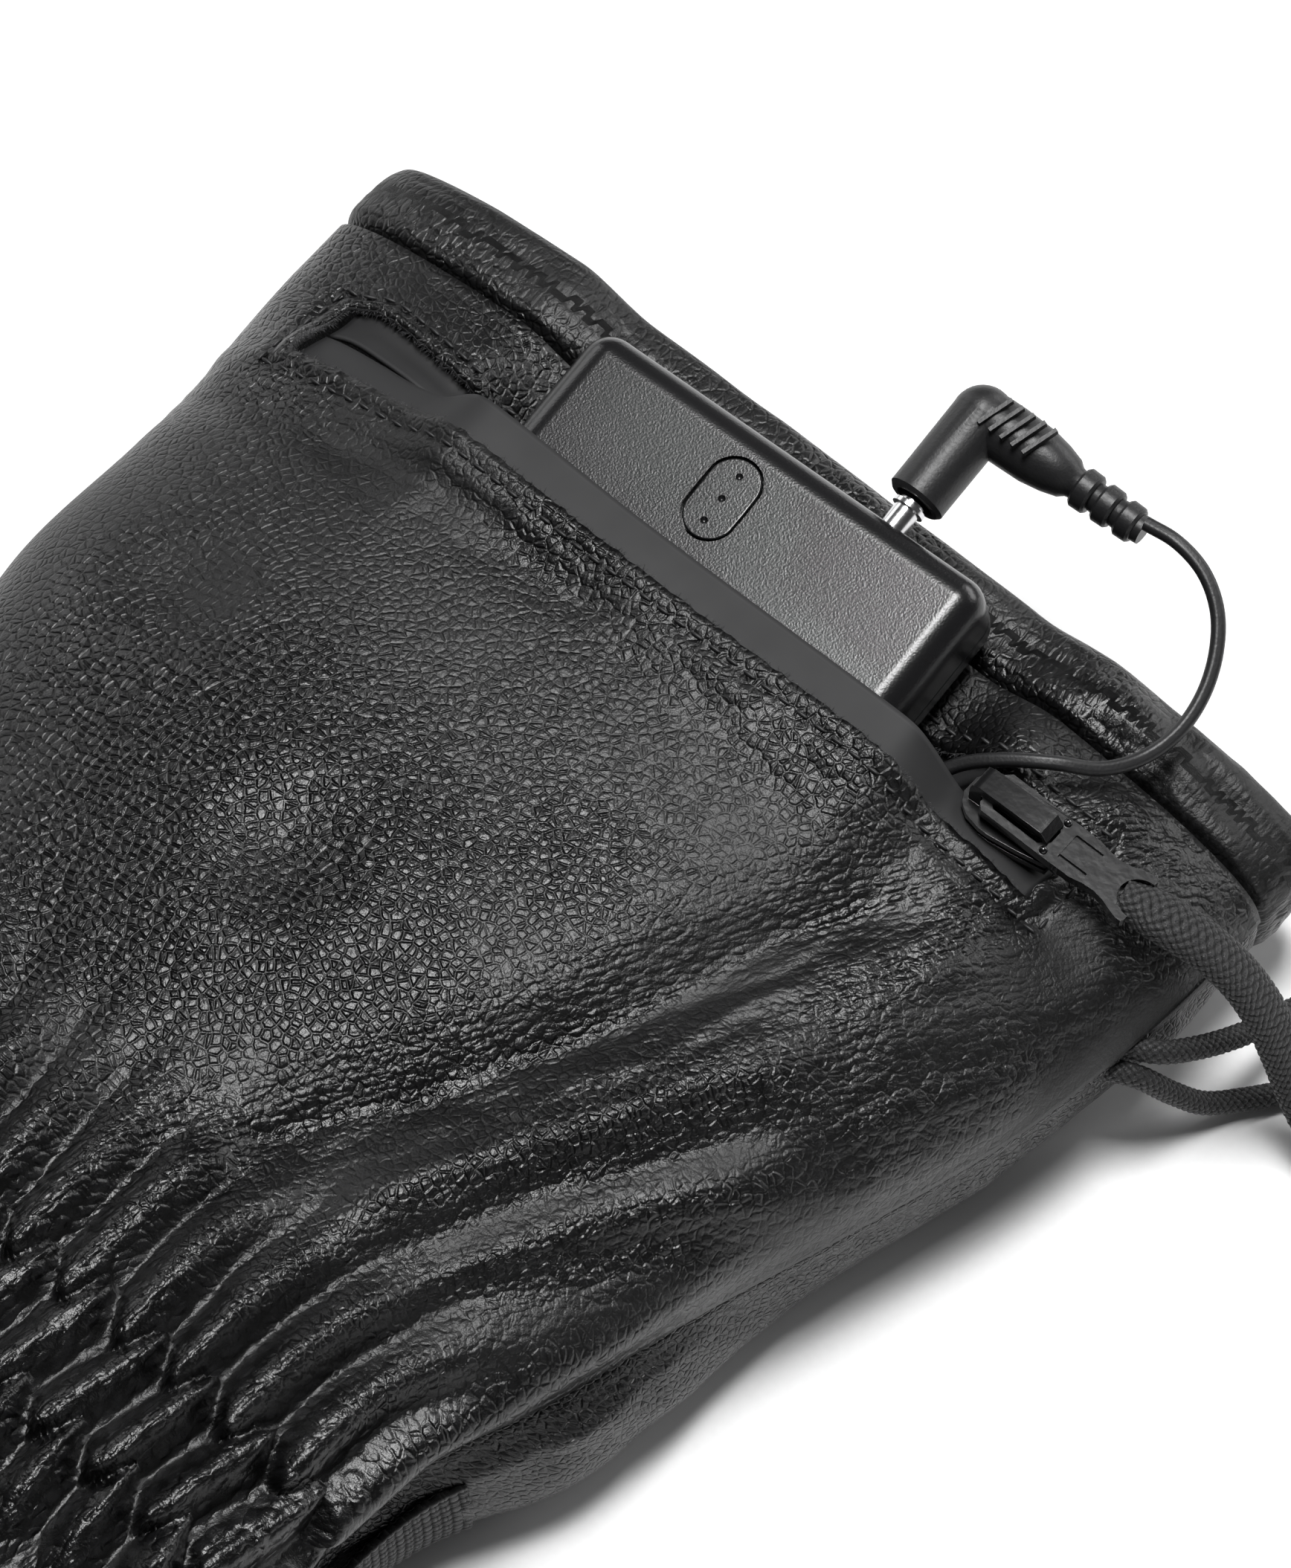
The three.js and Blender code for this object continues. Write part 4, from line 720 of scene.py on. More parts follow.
def soft_noise(x, y, seed):
    """Smooth seeded noise on a plane, from -1 to 1, with features about one unit apart"""
    lattice = np.random.default_rng(seed).uniform(-1, 1, (256, 256))
    i, j = np.floor(x).astype(int), np.floor(y).astype(int)
    u, v = smoothstep(x - i, 0, 1), smoothstep(y - j, 0, 1)
    low = mix(lattice[i & 255, j & 255], lattice[(i + 1) & 255, j & 255], u)
    high = mix(lattice[i & 255, (j + 1) & 255], lattice[(i + 1) & 255, (j + 1) & 255], u)
    return mix(low, high, v)


def cuff_sides(y):
    """Left and right side, seam height and bulge of the glove at a place along it"""
    left, right, seam, bulge = (table_curve(CUFF_SECTIONS, y / CUFF_LENGTH, k) for k in range(1, 5))
    return (-mix(WRIST_WIDTH / 2, CUFF_WIDTH / 2, left), mix(WRIST_WIDTH / 2, CUFF_WIDTH / 2, right),
            SEAM_HEIGHT * seam, SIDE_BULGE * bulge)


def slant(x, y):
    """How far the glove's mouth is cut on the slant at a place, along the glove"""
    return -MOUTH_SLANT * x / CUFF_WIDTH * np.clip(y / CUFF_LENGTH, 0, 1) ** 2


def slot_low(x):
    """The slot's edge on the finger side"""
    return SLOT_LINE + table_curve(SLOT_TABLE, x, 1)


def slot_high(x):
    """The slot's edge on the hem's side"""
    return slot_low(x) + table_curve(SLOT_TABLE, x, 2)


def crown(x, y):
    """1 in the middle of the back and 0 at the side seams"""
    left, right, *_ = cuff_sides(y)
    t = np.abs((x - (left + right) / 2) / ((right - left) / 2))
    return np.maximum(1 - t**BACK_ARCH, 0) ** (1 / BACK_ARCH)


def low_height(x, y):
    """Height of the back on the finger side of the slot, which rides over the battery"""
    seam = cuff_sides(y)[2]
    dome = seam + (GLOVE_HEIGHT - seam) * crown(x, y)
    beyond = np.maximum(np.abs(x) - BATTERY_SIZE[0] / 2 - 1.8, 0)
    reach = smoothstep(y, BATTERY_FAR - BATTERY_SIZE[1] - 22, BATTERY_FAR - BATTERY_SIZE[1])
    deck = (BATTERY_TOP + (y - BATTERY_FAR) * math.tan(BATTERY_TILT) + 4.8 - 0.06 * beyond**2
            - 30 * (1 - reach))
    blend = 1.2 * smoothstep(crown(x, y), 0, 0.7)
    return (dome + deck + np.hypot(dome - deck, blend)) / 2


def strip_height(x, y):
    """Height of the strip between the slot and the hem, which the battery lies on"""
    seam = cuff_sides(y)[2]
    pressed = (BATTERY_TOP + (np.minimum(y, HEM_SEAM) - BATTERY_FAR) * math.tan(BATTERY_TILT)
               - BATTERY_SIZE[2] / math.cos(BATTERY_TILT) - 0.6)
    beside = smoothstep(np.abs(x), BATTERY_SIZE[0] / 2 + 1, BATTERY_SIZE[0] / 2 + 14)
    rise = 0.6 * beside * (1 - 0.5 * smoothstep(y, slot_high(x), HEM_SEAM))
    return seam + (mix(pressed, GLOVE_HEIGHT, rise) - seam) * crown(x, y)


def back_height(x, y):
    """Height of the back before its folds and gathers"""
    beyond = np.clip(np.maximum(SLOT_LEFT - x, x - SLOT_RIGHT), 0, 9)
    share = smoothstep(y, slot_low(x) + 1.5 - beyond, slot_high(x) - 1 + beyond)
    return mix(low_height(x, y), strip_height(x, y), share)


def distance_to(points, x, y):
    """Distance to a line through points"""
    nearest = np.full(np.shape(x), np.inf)
    for (ax, ay), (bx, by) in zip(points, points[1:]):
        t = ((x - ax) * (bx - ax) + (y - ay) * (by - ay)) / ((bx - ax) ** 2 + (by - ay) ** 2)
        t = np.clip(t, 0, 1)
        nearest = np.minimum(nearest, np.hypot(x - mix(ax, bx, t), y - mix(ay, by, t)))
    return nearest


def fold_relief(x, y):
    """The large folds, which fade out at their ends and before the hem"""
    relief = 0
    for points, height, width in FOLDS:
        power = 1.5 if height < 0 else 2
        to_end = np.minimum(*(np.hypot(x - end[0], y - end[1]) for end in (points[0], points[-1])))
        taper = 0.25 + 0.75 * smoothstep(to_end, 0, 14)
        relief = relief + taper * height * np.exp(-(distance_to(points, x, y) / width) ** power)
    return relief * smoothstep(HEM_SEAM - y, 0, 5)


# Each gather is a leaf-shaped puff between the zigzag rows. Its sizes are in millimetres, and its
# place round the wrist is counted in periods of the stitching.
GATHERS = 13
GATHER_HEIGHT = 3.6
ZIGZAG_WIDTH = 6
ZIGZAG_SPACING = 14.4
FIRST_ZIGZAG = 3.6


def zigzag(phase, row):
    """Place along the glove of a row of zigzag stitching"""
    wave = np.abs(phase % 1 - 0.5) * 2
    return -FIRST_ZIGZAG - row * ZIGZAG_SPACING - ZIGZAG_WIDTH * (1 - wave)


def gather_relief(phase, y):
    """Puffs between the zigzag rows, with the leather pinched down at each row from below"""
    phase = phase + 0.07 * soft_noise(phase * 0.8 + 3, y / 9, 11)
    upper, lower = zigzag(phase, 0), zigzag(phase, 1)
    to_row = np.where(np.abs(y - upper) < np.abs(y - lower), y - upper, y - lower)
    tucked = smoothstep(-np.abs(phase % 1 - 0.27), -0.34, -0.16)
    pinch = 1 - mix(0.3, 1.0, tucked) * np.exp(-np.abs(to_row) / np.where(to_row > 0, 0.5, 2.6))
    bottom = FIRST_ZIGZAG + ZIGZAG_SPACING + ZIGZAG_WIDTH
    drift = np.where(y > upper, 0.5, -0.5 * np.clip((-FIRST_ZIGZAG - y) / (bottom - FIRST_ZIGZAG), 0, 1))
    place_across = phase - np.where(y < lower, 0, drift)
    ridge = np.abs(np.cos(math.pi * place_across)) ** 1.5
    each = 1 + 0.3 * soft_noise(np.round(place_across) * 7.3, y / 14, 5)
    fade = smoothstep(y, -WRIST_LENGTH, -bottom - 2) * (1 - smoothstep(y, 0, 30))
    creases = 0.16 * soft_noise(place_across * 6, y / 5, 12) * (1 - smoothstep(y, 4, 30))
    return (GATHER_HEIGHT * each * ridge * pinch + creases * pinch) * fade


def pulled_plane(x, y):
    """Places across and along the pull of the leather: up from the wrist, then towards the folds"""
    above = np.logaddexp(0, (y - 4) / 5) * 5
    return (PULL_ACROSS * x - PULL_ALONG * above,
            PULL_ALONG * x * above / (above + 20) + PULL_ACROSS * y)


def rough_band(x, y):
    """1 where the hide is crumpled into short wrinkles, at the foot of the valley below the dome"""
    line = [(9, 17), (20, 30), (31, 47), (39, 64), (46, 83), (57, 105)]
    return np.exp(-(distance_to(line, x, y) / 5.5) ** 2)


def fine_relief(x, y):
    """Small wrinkles: long ones along the folds on the right, short ones in the rough band, light
    ones under the slot's lip and soft swells on the dome"""
    across, along = pulled_plane(x, y)
    across = across + 1.2 * soft_noise(x / 14, y / 14, 21)
    fan = smoothstep(across, -3, 6) * smoothstep(along, 8, 30) * (1 - 0.7 * smoothstep(y, 92, 112))
    fan_relief = fan * (0.3 * soft_noise(across / 3.1, along / 26, 22)
                        + 0.16 * soft_noise(across / 1.5, along / 9, 23))
    band_relief = rough_band(x, y) * (0.4 * soft_noise(across / 1.9 + along / 9, along / 4.2, 24)
                                      + 0.25 * soft_noise(across / 3.6, along / 7, 29))
    lip = np.exp(-((y - 103.5) / 7) ** 2) * smoothstep(-x, -52, -40)
    lip_relief = lip * (0.3 * soft_noise(x / 9 + y / 5, y / 1.9, 25)
                        + 0.2 * soft_noise(x / 3.4, y / 1.5, 26))
    swell = 0.5 * soft_noise(x / 26, y / 22, 27) * smoothstep(y, 0, 25) * smoothstep(HEM_SEAM - y, 0, 20)
    flank = np.exp(-((across + 9) / 7) ** 2) * smoothstep(y, 18, 40)
    flank_relief = flank * 0.22 * soft_noise(across / 2.4, along / 15, 28)
    return fan_relief + band_relief + lip_relief + swell + flank_relief


def grid_normals(points):
    """Outward normals of rows of points that run from the left side to the right one"""
    along_rows = np.gradient(points, axis=0)
    along_columns = np.gradient(points, axis=1)
    normals = np.cross(along_columns, along_rows)
    return normals / np.maximum(np.linalg.norm(normals, axis=2, keepdims=True), 1e-9)


def panel(points, keep=None, **layers):
    """Grid of points[row][column], in millimetres, with named values at its vertices. Vertices
    outside keep are left out"""
    shape = surface(metres(points), **layers)
    if keep is not None:
        shape.verts.index_update()
        columns = points.shape[1]
        out = [v for v in shape.verts if not keep[v.index // columns, v.index % columns]]
        bmesh.ops.delete(shape, geom=out, context="VERTS")
    return shape


def unrolled(points):
    """Places on the flat hide: run across each row from its middle, and place along the glove"""
    steps = np.linalg.norm(np.diff(points, axis=1, prepend=points[:, :1]), axis=2)
    run = np.cumsum(steps, axis=1)
    run = run - run[:, points.shape[1] // 2][:, None]
    return np.stack([run, points[:, :, 1], np.zeros_like(run)], axis=2) / 1000


def full_grain_leather(name, cell, depth, tone="#0f0f10", gloss=0.28):
    """Black full-grain leather, softened by tumbling: small domed cells with fine creases between them, and
    painted shade in the colour that darkens each cell from its top to near black in the creases. Where the
    leather is pulled, they are drawn out along the attribute "pull". Cell and depth are in millimetres, and
    smooth taut leather shines less than creased leather."""
    made, tree, shader, where = new_material(name, IOR=1.5)
    flat, pull, drawn, grain = (
        add_node(tree, "Attribute", attribute_name=layer).outputs[kind]
        for layer, kind in (("flat", "Vector"), ("pull", "Vector"), ("drawn", "Fac"), ("grain", "Fac")))
    wander = add_node(tree, "TexNoise", {"Vector": where, "Scale": 600, "Detail": 1}).outputs["Color"]
    centred = add_node(tree, "VectorMath", {0: wander, 1: (0.5, 0.5, 0.5)}, operation="SUBTRACT")
    small = add_node(tree, "VectorMath", {0: centred, "Scale": 0.0006}, operation="SCALE")
    moved, pulled = (add_node(tree, "VectorMath", {0: vector, 1: small}, operation="ADD")
                     for vector in (flat, pull))
    long = add_node(tree, "Mapping", {"Vector": pulled, "Scale": (1.35, 0.5, 1)})
    pebble, border, streak, fine = (
        add_node(tree, "TexVoronoi", {"Vector": vector, "Scale": per_metre / cell},
                 voronoi_dimensions="2D", feature=feature)
        for vector, per_metre, feature in ((moved, 1000, "F1"), (moved, 1000, "DISTANCE_TO_EDGE"),
                                           (long, 1000, "F1"), (moved, 2700, "F1")))
    crack = add_node(tree, "MapRange", {"Value": border, "From Max": 0.24},
                     interpolation_type="SMOOTHSTEP")
    rounded = add_node(tree, "MapRange", {"Value": pebble, "From Max": 0.7, "To Min": 1.0, "To Max": 0.58})
    plateau = add_node(tree, "Math", {0: crack, 1: rounded}, operation="MULTIPLY")
    drawn_out = add_node(tree, "MapRange", {"Value": streak, "From Min": 0.15, "From Max": 0.62,
                                            "To Min": 1.0, "To Max": 0.0}, interpolation_type="SMOOTHSTEP")
    creased = add_node(tree, "Mix", {"Factor": drawn, "A": plateau, "B": drawn_out})
    chance = add_node(tree, "MapRange", {"Value": pebble.outputs["Color"], "To Min": 0.35, "To Max": 1.25})
    uneven = add_node(tree, "Math", {0: chance, 1: grain}, operation="MULTIPLY")
    coarse = add_node(tree, "Math", {0: creased, 1: uneven}, operation="MULTIPLY")
    with_fine = add_node(tree, "Math", {0: fine, 1: -0.1, 2: coarse}, operation="MULTIPLY_ADD")
    hide = add_node(tree, "TexNoise", {"Vector": where, "Scale": 5200, "Detail": 2})
    height = add_node(tree, "Math", {0: hide, 1: 0.16, 2: with_fine}, operation="MULTIPLY_ADD")
    bump = add_node(tree, "Bump", {"Height": height, "Distance": depth / 1000})
    shine = add_node(tree, "MapRange", {"Value": grain, "From Min": 0.25, "From Max": 0.8,
                                        "To Min": gloss + 0.25, "To Max": gloss})
    # Painted shade: the colour goes from the tone on the cell tops to near black in the creases, following
    # the crease height
    colour_with_crack_shade = add_node(tree, "Mix", {"Factor": creased, "A": linear("#020202"), "B": linear(tone)},
                      data_type="RGBA")
    set_inputs(shader, {"Normal": bump, "Roughness": shine, "Base Color": colour_with_crack_shade})
    return made


def raw_leather():
    """Cut edge and flesh side of dyed leather: a short dark suede nap without gloss"""
    made, tree, shader, where = new_material("raw_leather", Roughness=0.95, Sheen_Weight=0.3)
    nap = add_node(tree, "TexNoise", {"Vector": where, "Scale": 3800, "Detail": 4})
    tone = add_node(tree, "Mix", {"Factor": nap, "A": linear("#08080a"), "B": linear("#2b2b2d")},
                    data_type="RGBA")
    bump = add_node(tree, "Bump", {"Height": nap, "Distance": 0.0003})
    set_inputs(shader, {"Base Color": tone, "Normal": bump})
    return made


COLUMNS = 212
WRIST_ROWS = 88
DOME_ROWS = 100
SLOT_ROWS = 12
rows_y = np.concatenate([np.linspace(-WRIST_LENGTH, 6, WRIST_ROWS, endpoint=False),
                         np.linspace(6, SLOT_LINE, DOME_ROWS, endpoint=False),
                         np.linspace(SLOT_LINE, SLOT_LINE + SLOT_WIDTH, SLOT_ROWS, endpoint=False),
                         np.linspace(SLOT_LINE + SLOT_WIDTH, HEM_SEAM - 0.3, 11)])


def back_points():
    """x, y and share across of the back's grid, in columns at even steps round each section"""
    angle = np.linspace(math.pi, 0, 241)
    t = squared_off(np.cos(angle), 2 / BACK_ARCH)
    share = np.linspace(0, 1, COLUMNS + 1)
    x = []
    for y in rows_y:
        left, right, *_ = cuff_sides(y)
        across = mix(left, right, (t + 1) / 2)
        height = back_height(across, np.full_like(across, y))
        run = np.concatenate([[0], np.cumsum(np.hypot(np.diff(across), np.diff(height)))])
        x.append(np.interp(share * run[-1], run, across))
    x = np.array(x)
    y = np.repeat(rows_y[:, None], COLUMNS + 1, axis=1)
    near = (smoothstep(y, SLOT_LINE - 16, SLOT_LINE - 2)
            * smoothstep(-y, -HEM_SEAM, -SLOT_LINE - SLOT_WIDTH))
    low_row = WRIST_ROWS + DOME_ROWS
    high_row = low_row + SLOT_ROWS
    ends = [int(np.argmin(np.abs(x[low_row + SLOT_ROWS // 2] - end))) for end in (SLOT_LEFT, SLOT_RIGHT)]
    for end, column in zip((SLOT_LEFT, SLOT_RIGHT), ends):
        reach = np.exp(-((np.arange(COLUMNS + 1) - column) / 5) ** 2)
        x = x + (end - x[:, column:column + 1]) * reach * near
    y = y + near * mix(slot_low(x) - SLOT_LINE, slot_high(x) - SLOT_LINE - SLOT_WIDTH,
                       np.clip((y - SLOT_LINE) / SLOT_WIDTH, 0, 1))
    keep = np.ones(x.shape, bool)
    keep[low_row + 1:high_row, ends[0] + 1:ends[1]] = False
    return x, y, np.broadcast_to(share, x.shape), keep


def slot_distance(x, y):
    """Distance outside the slot's edge"""
    return np.hypot(np.maximum(np.maximum(SLOT_LEFT - x, x - SLOT_RIGHT), 0),
                    np.maximum(np.maximum(slot_low(x) - y, y - slot_high(x)), 0))


def back_panel():
    """The back with its relief, and with the grain's strength and pull at each vertex"""
    x, y, share, keep = back_points()
    base = np.stack([x, y, back_height(x, y)], axis=2)
    normals = grid_normals(base)
    to_side = np.minimum(share, 1 - share)
    free = smoothstep(to_side, 0, 0.05)
    level = smoothstep(to_side, 0, 0.04)[:, :, None]
    outward = np.stack([np.sign(share - 0.5), np.zeros_like(x), np.zeros_like(x)], axis=2)
    normals = mix(outward, normals, level)
    folds = fold_relief(x, y) * free
    gathers = gather_relief(share * GATHERS, y) * smoothstep(to_side, 0, 0.03)
    edge = slot_distance(x, y)
    stitches = (-0.6 * np.exp(-((edge - STITCH_INSET) / 0.8) ** 2)
                + 0.35 * np.exp(-((edge - 1.0) / 1.1) ** 2))
    relief = folds + gathers + fine_relief(x, y) * free * smoothstep(edge, 0, 5) + stitches
    relief = relief + 0.35 * np.exp(-((1 - share) / 0.006) ** 2) * smoothstep(y, -10, 10)
    points = base + normals * relief[:, :, None]
    ragged = np.exp(-(edge / 0.7) ** 2)
    points[:, :, 1] += 0.22 * ragged * soft_noise(x / 0.8, y / 0.8, 31) + slant(x, y)
    points[:, :, 2] += 0.15 * ragged * soft_noise(x / 1.1, y / 1.1, 32)
    across = PULL_ACROSS * x - PULL_ALONG * y
    dome = np.exp(-((x + 14) / 50) ** 2 - ((y - 46) / 27) ** 2)
    ridge = np.clip(folds / 2.4, -1, 1) + np.clip(gathers / 2.2 - 0.4, -0.5, 0.6)
    patches = soft_noise(x / 15, y / 15, 41)
    quiet = np.exp(-((x + 44) / 20) ** 2 - ((y - 84) / 16) ** 2)
    rising = np.clip(np.gradient(folds, axis=1) / np.gradient(x, axis=1) / 0.5, 0, 1)
    grain = np.clip(0.62 + 0.3 * dome + 0.35 * np.maximum(ridge, 0.3 * ridge) + 0.22 * patches
                    + 0.45 * rough_band(x, y) - 0.4 * quiet - 0.45 * rising, 0.1, 1.0)
    drawn = np.clip(0.2 + 0.4 * smoothstep(across, -8, 5) - 0.5 * np.clip(ridge, 0, 1)
                    + 0.6 * np.exp(-((across + 6) / 6) ** 2) - 0.5 * dome
                    + 0.5 * (1 - smoothstep(y, -2, 8)), 0, 1)
    flow = np.stack([*pulled_plane(x, y), np.zeros_like(x)], axis=2) / 1000
    return panel(points, keep, grain=grain, drawn=drawn, pull=flow, flat=unrolled(base))


leather = full_grain_leather("full_grain_leather", 1.25, 0.31)
suede = raw_leather()
hide_wall = ("SOLIDIFY", {"thickness": LEATHER_THICKNESS, "offset": -1, "material_offset": 1,
                          "material_offset_rim": 1})
back = finish_piece("cuff_back_leather", back_panel(), leather, ["cuff_back"], sharp=180,
                    modifiers=[hide_wall])
back.data.materials.append(suede)


# Underside of the cuff: a softer gusset leather with a finer grain. It swells out below the seam,
# where the back's edge is laid on it and stitched down.
UNDER_ARCH = 3.6


def under_point(v, y, inset=0.0):
    """Point of the underside at share v from the left seam to the right one"""
    left, right, seam, bulge = cuff_sides(y)
    angle = math.pi * v
    reach = np.sin(angle) ** (2 / UNDER_ARCH)
    side = -squared_off(np.cos(angle), 2 / UNDER_ARCH)
    half = (right - left) / 2 + bulge * np.minimum(np.sin(angle) * 2.5, 1) - inset
    top = seam - 0.3
    x = (left + right) / 2 + side * half
    z = np.maximum(top - (top - inset) * np.minimum(reach * 1.05, 1), inset)
    return np.stack([x, y + slant(x, y), z], axis=-1)


def palm_panel():
    """The underside, soft and puckered above, where it shows, and flat on the floor"""
    y, v = np.meshgrid(np.linspace(-WRIST_LENGTH, HEM_SEAM - 0.3, 176), np.linspace(1, 0, 181),
                       indexing="ij")
    points = under_point(v, y)
    normals = grid_normals(points[:, ::-1])[:, ::-1]
    outward = np.sign(v - 0.5)[:, :, None] * np.array([1.0, 0, 0])
    normals = mix(outward, -normals, smoothstep(np.minimum(v, 1 - v), 0, 0.03)[:, :, None])
    to_seam = np.minimum(v, 1 - v)
    side = smoothstep(to_seam, 0.0, 0.02) * (1 - smoothstep(to_seam, 0.12, 0.22))
    height = points[:, :, 2]
    swells = (0.8 * soft_noise(y / 30, height / 11 + 5, 51)
              + 0.5 * soft_noise(y / 9 + height / 6, height / 7, 52))
    puckers = 0.4 * soft_noise(y / 2.6, height / 8, 53) * np.exp(-((height - 17) / 6) ** 2)
    bulge = 3.2 * np.exp(-((y - 22) / 20) ** 2) * (v > 0.5)
    relief = side * (swells + puckers - 0.5 + bulge)
    points = points + normals * relief[:, :, None]
    points[:, :, 2] = np.maximum(points[:, :, 2], 0)
    grain = np.clip(0.85 + 0.25 * soft_noise(y / 12, height / 8, 54), 0.2, 1)
    flow = np.stack([height + 0.6 * y, y, 0 * y], axis=2) / 1000
    return panel(points, grain=grain, drawn=np.full(v.shape, 0.15), pull=flow, flat=unrolled(points))


gusset_leather = full_grain_leather("gusset_leather", 1.0, 0.36, "#141415", 0.3)
palm = finish_piece("cuff_palm_leather", palm_panel(), gusset_leather, ["cuff_palm"],
                    sharp=180, modifiers=[hide_wall])
palm.data.materials.append(suede)


# Hem round the mouth: the same leather turned over a soft filling and stitched down, so that it
# puffs between its stitches and wrinkles where it bends.
HEM_THICKNESS = 7


def hem_points():
    """Rings of points round the hem's roll, in rows from station to station round the mouth"""
    y = HEM_SEAM - 0.3
    left, right, *_ = cuff_sides(y)
    angle = np.linspace(math.pi, 0, 400)
    t = squared_off(np.cos(angle), 2 / BACK_ARCH)
    x = mix(left, right, (t + 1) / 2)
    over = np.stack([x, back_height(x, np.full_like(x, y))], axis=1)
    under = under_point(np.linspace(1, 0, 402)[1:], np.full(401, y))[:, [0, 2]]
    outline = np.concatenate([over, under])
    run = run_along(outline)
    even = np.linspace(0, run[-1], 521)
    outline = at_distances(outline, run, even)
    tangent = np.roll(outline[:-1], -3, axis=0) - np.roll(outline[:-1], 3, axis=0)
    normal = np.stack([-tangent[:, 1], tangent[:, 0]], axis=1)
    normal = normal / np.linalg.norm(normal, axis=1, keepdims=True)
    normal = np.concatenate([normal, normal[:1]])
    turn = np.linspace(0, 2 * math.pi, 61)
    station, roll = np.meshgrid(even, turn, indexing="ij")
    along, out = squared_off(np.sin(roll), 0.8), squared_off(np.cos(roll), 0.8)
    at_right = smoothstep(outline[:, 0], 30, 60)[:, None] * (outline[:, 1] > 15)[:, None]
    puffs = 0.6 * soft_noise(station / 15, 0.8 * np.sin(roll), 61) + (0.3 + 0.5 * at_right) * soft_noise(
        station / 6.5 + 0.8 * along, along * 1.6, 62)
    wrinkles = 0.2 * soft_noise(station / 8 + along, along * 7, 63) + 0.2 * at_right * soft_noise(
        station / 2.4 + along * 2.2, along, 64)
    puffs = mix(puffs, puffs[:1], np.exp(-(np.minimum(station, run[-1] - station) / 6) ** 2))
    wrinkles = wrinkles * (1 - np.exp(-(np.minimum(station, run[-1] - station) / 4) ** 2))
    stitched = np.exp(-((along + 0.93) / 0.08) ** 2) * (out > 0)
    relief = (puffs + wrinkles) * (0.4 + 0.6 * np.abs(out)) - 0.5 * stitched
    depth = 0.6 - HEM_THICKNESS / 2 + out * (HEM_THICKNESS / 2 + relief)
    y = HEM_SEAM + HEM_WIDTH / 2 + along * (HEM_WIDTH / 2 + 0.3 * relief)
    x = outline[:, :1] + normal[:, :1] * depth
    z = np.maximum(outline[:, 1:] + normal[:, 1:] * depth, 0)
    grain = np.clip(0.55 + 0.35 * soft_noise(station / 12, along, 65), 0.15, 1.0)
    flow = np.stack([station, 4 * roll, 0 * roll], axis=2) / 1000
    return np.stack([x, y + slant(x, y), z], axis=2), grain, 0.25 + 0.4 * at_right + 0 * roll, flow


def closed_panel(points, grain, drawn, pull):
    """A panel whose opposite sides meet"""
    shape = panel(points, grain=grain, drawn=drawn, pull=pull, flat=pull)
    bmesh.ops.remove_doubles(shape, verts=shape.verts, dist=1e-6)
    bmesh.ops.recalc_face_normals(shape, faces=shape.faces)
    return shape


finish_piece("cuff_hem_leather", closed_panel(*hem_points()), leather, ["cuff_hem"], sharp=180)


# Zip tapes: strips of a smooth rubbery film that border the zip inside the slot. The lower one
# hugs the battery, and right of the battery the two come together.
TAPE_SHOWS = 6
TAPE_DEPTH = 2.2


def zip_line(x):
    """Where the two tapes meet when the zip is closed"""
    return mix(slot_low(x), slot_high(x), 0.55)


def tape_points(from_y, to_y, height_at):
    """A tape between two lines along the slot, sunk below the leather that it is sewn under"""
    x = np.repeat(np.linspace(SLOT_LEFT + 1, SLOT_RIGHT - 1, 161)[None, :], 13, axis=0)
    y = mix(from_y(x), to_y(x), np.linspace(0, 1, 13)[:, None])
    closing = smoothstep(x, SLOT_RIGHT * 0.6, SLOT_RIGHT * 0.85) + smoothstep(-x, 36, 50)
    level = mix(low_height(x, y), strip_height(x, y), smoothstep(y, slot_low(x), slot_high(x)))
    z = mix(height_at(x, y), level, closing) + fold_relief(x, y) - TAPE_DEPTH + 0.5 * closing
    return np.stack([x, y + slant(x, y), z], axis=2)


def laminated_film():
    """Smooth matt film of a laminated zip tape, dark grey, with a barely visible haze"""
    made, tree, shader, where = new_material("laminated_film", IOR=1.5)
    haze = add_node(tree, "TexNoise", {"Vector": where, "Scale": 160, "Detail": 5})
    shine = add_node(tree, "MapRange", {"Value": haze, "To Min": 0.6, "To Max": 0.72})
    tone = add_node(tree, "Mix", {"Factor": haze, "A": linear("#1b1b1c"), "B": linear("#202021")},
                    data_type="RGBA")
    set_inputs(shader, {"Roughness": shine, "Base Color": tone})
    return made


film = laminated_film()
film_wall = ("SOLIDIFY", {"thickness": 0.0006, "offset": -1})
for side, from_y, to_y, height_at in (
        ("lower", lambda x: slot_low(x) - 2, lambda x: slot_low(x) + TAPE_SHOWS, low_height),
        ("upper", lambda x: zip_line(x) + 0.3, lambda x: slot_high(x) + 2, strip_height)):
    finish_piece(f"zip_tape_{side}_film", panel(tape_points(from_y, to_y, height_at)), film,
                 [f"zip_tape_{side}"], sharp=60, modifiers=[film_wall])


# Slider and puller: die-cast zinc in gloss black lacquer. The slider sits on the closed zip at the
# slot's right end, and the puller's frame hangs round its raised bridge.
SLIDER_LENGTH = 14
SLIDER_WIDTH = 8.4
SLIDER_THICKNESS = 2.4
WING_THICKNESS = 0.9
BRIDGE_WIDTH = 3.4
BRIDGE_HEIGHT = 4
BRIDGE_LENGTH = 12
PULLER_THICKNESS = 1.5
GROOVE_DEPTH = 0.4
PULLER_DIP = math.radians(3.2)
FRAME_HALF = 3.25
PLATE_START = 10.24
TONGUE_LENGTH = 12.76
slider_points = np.array([v.co[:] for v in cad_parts["zip_slider"].data.vertices])
slider_left = min(slider_points, key=lambda q: (round(q[0], 4), q[2]))
slider_right = min(slider_points, key=lambda q: (-round(q[0], 4), q[2]))
slider_dip = math.atan2(slider_left[2] - slider_right[2], slider_right[0] - slider_left[0])
slider_middle = Vector(((slider_left + slider_right) / 2).tolist())
slider_middle.y = (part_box("zip_slider")[0].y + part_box("zip_slider")[1].y) / 2
in_slider = (Matrix.Translation(slider_middle) @ Matrix.Rotation(slider_dip, 4, "Y")
             @ Matrix.Scale(0.001, 4))


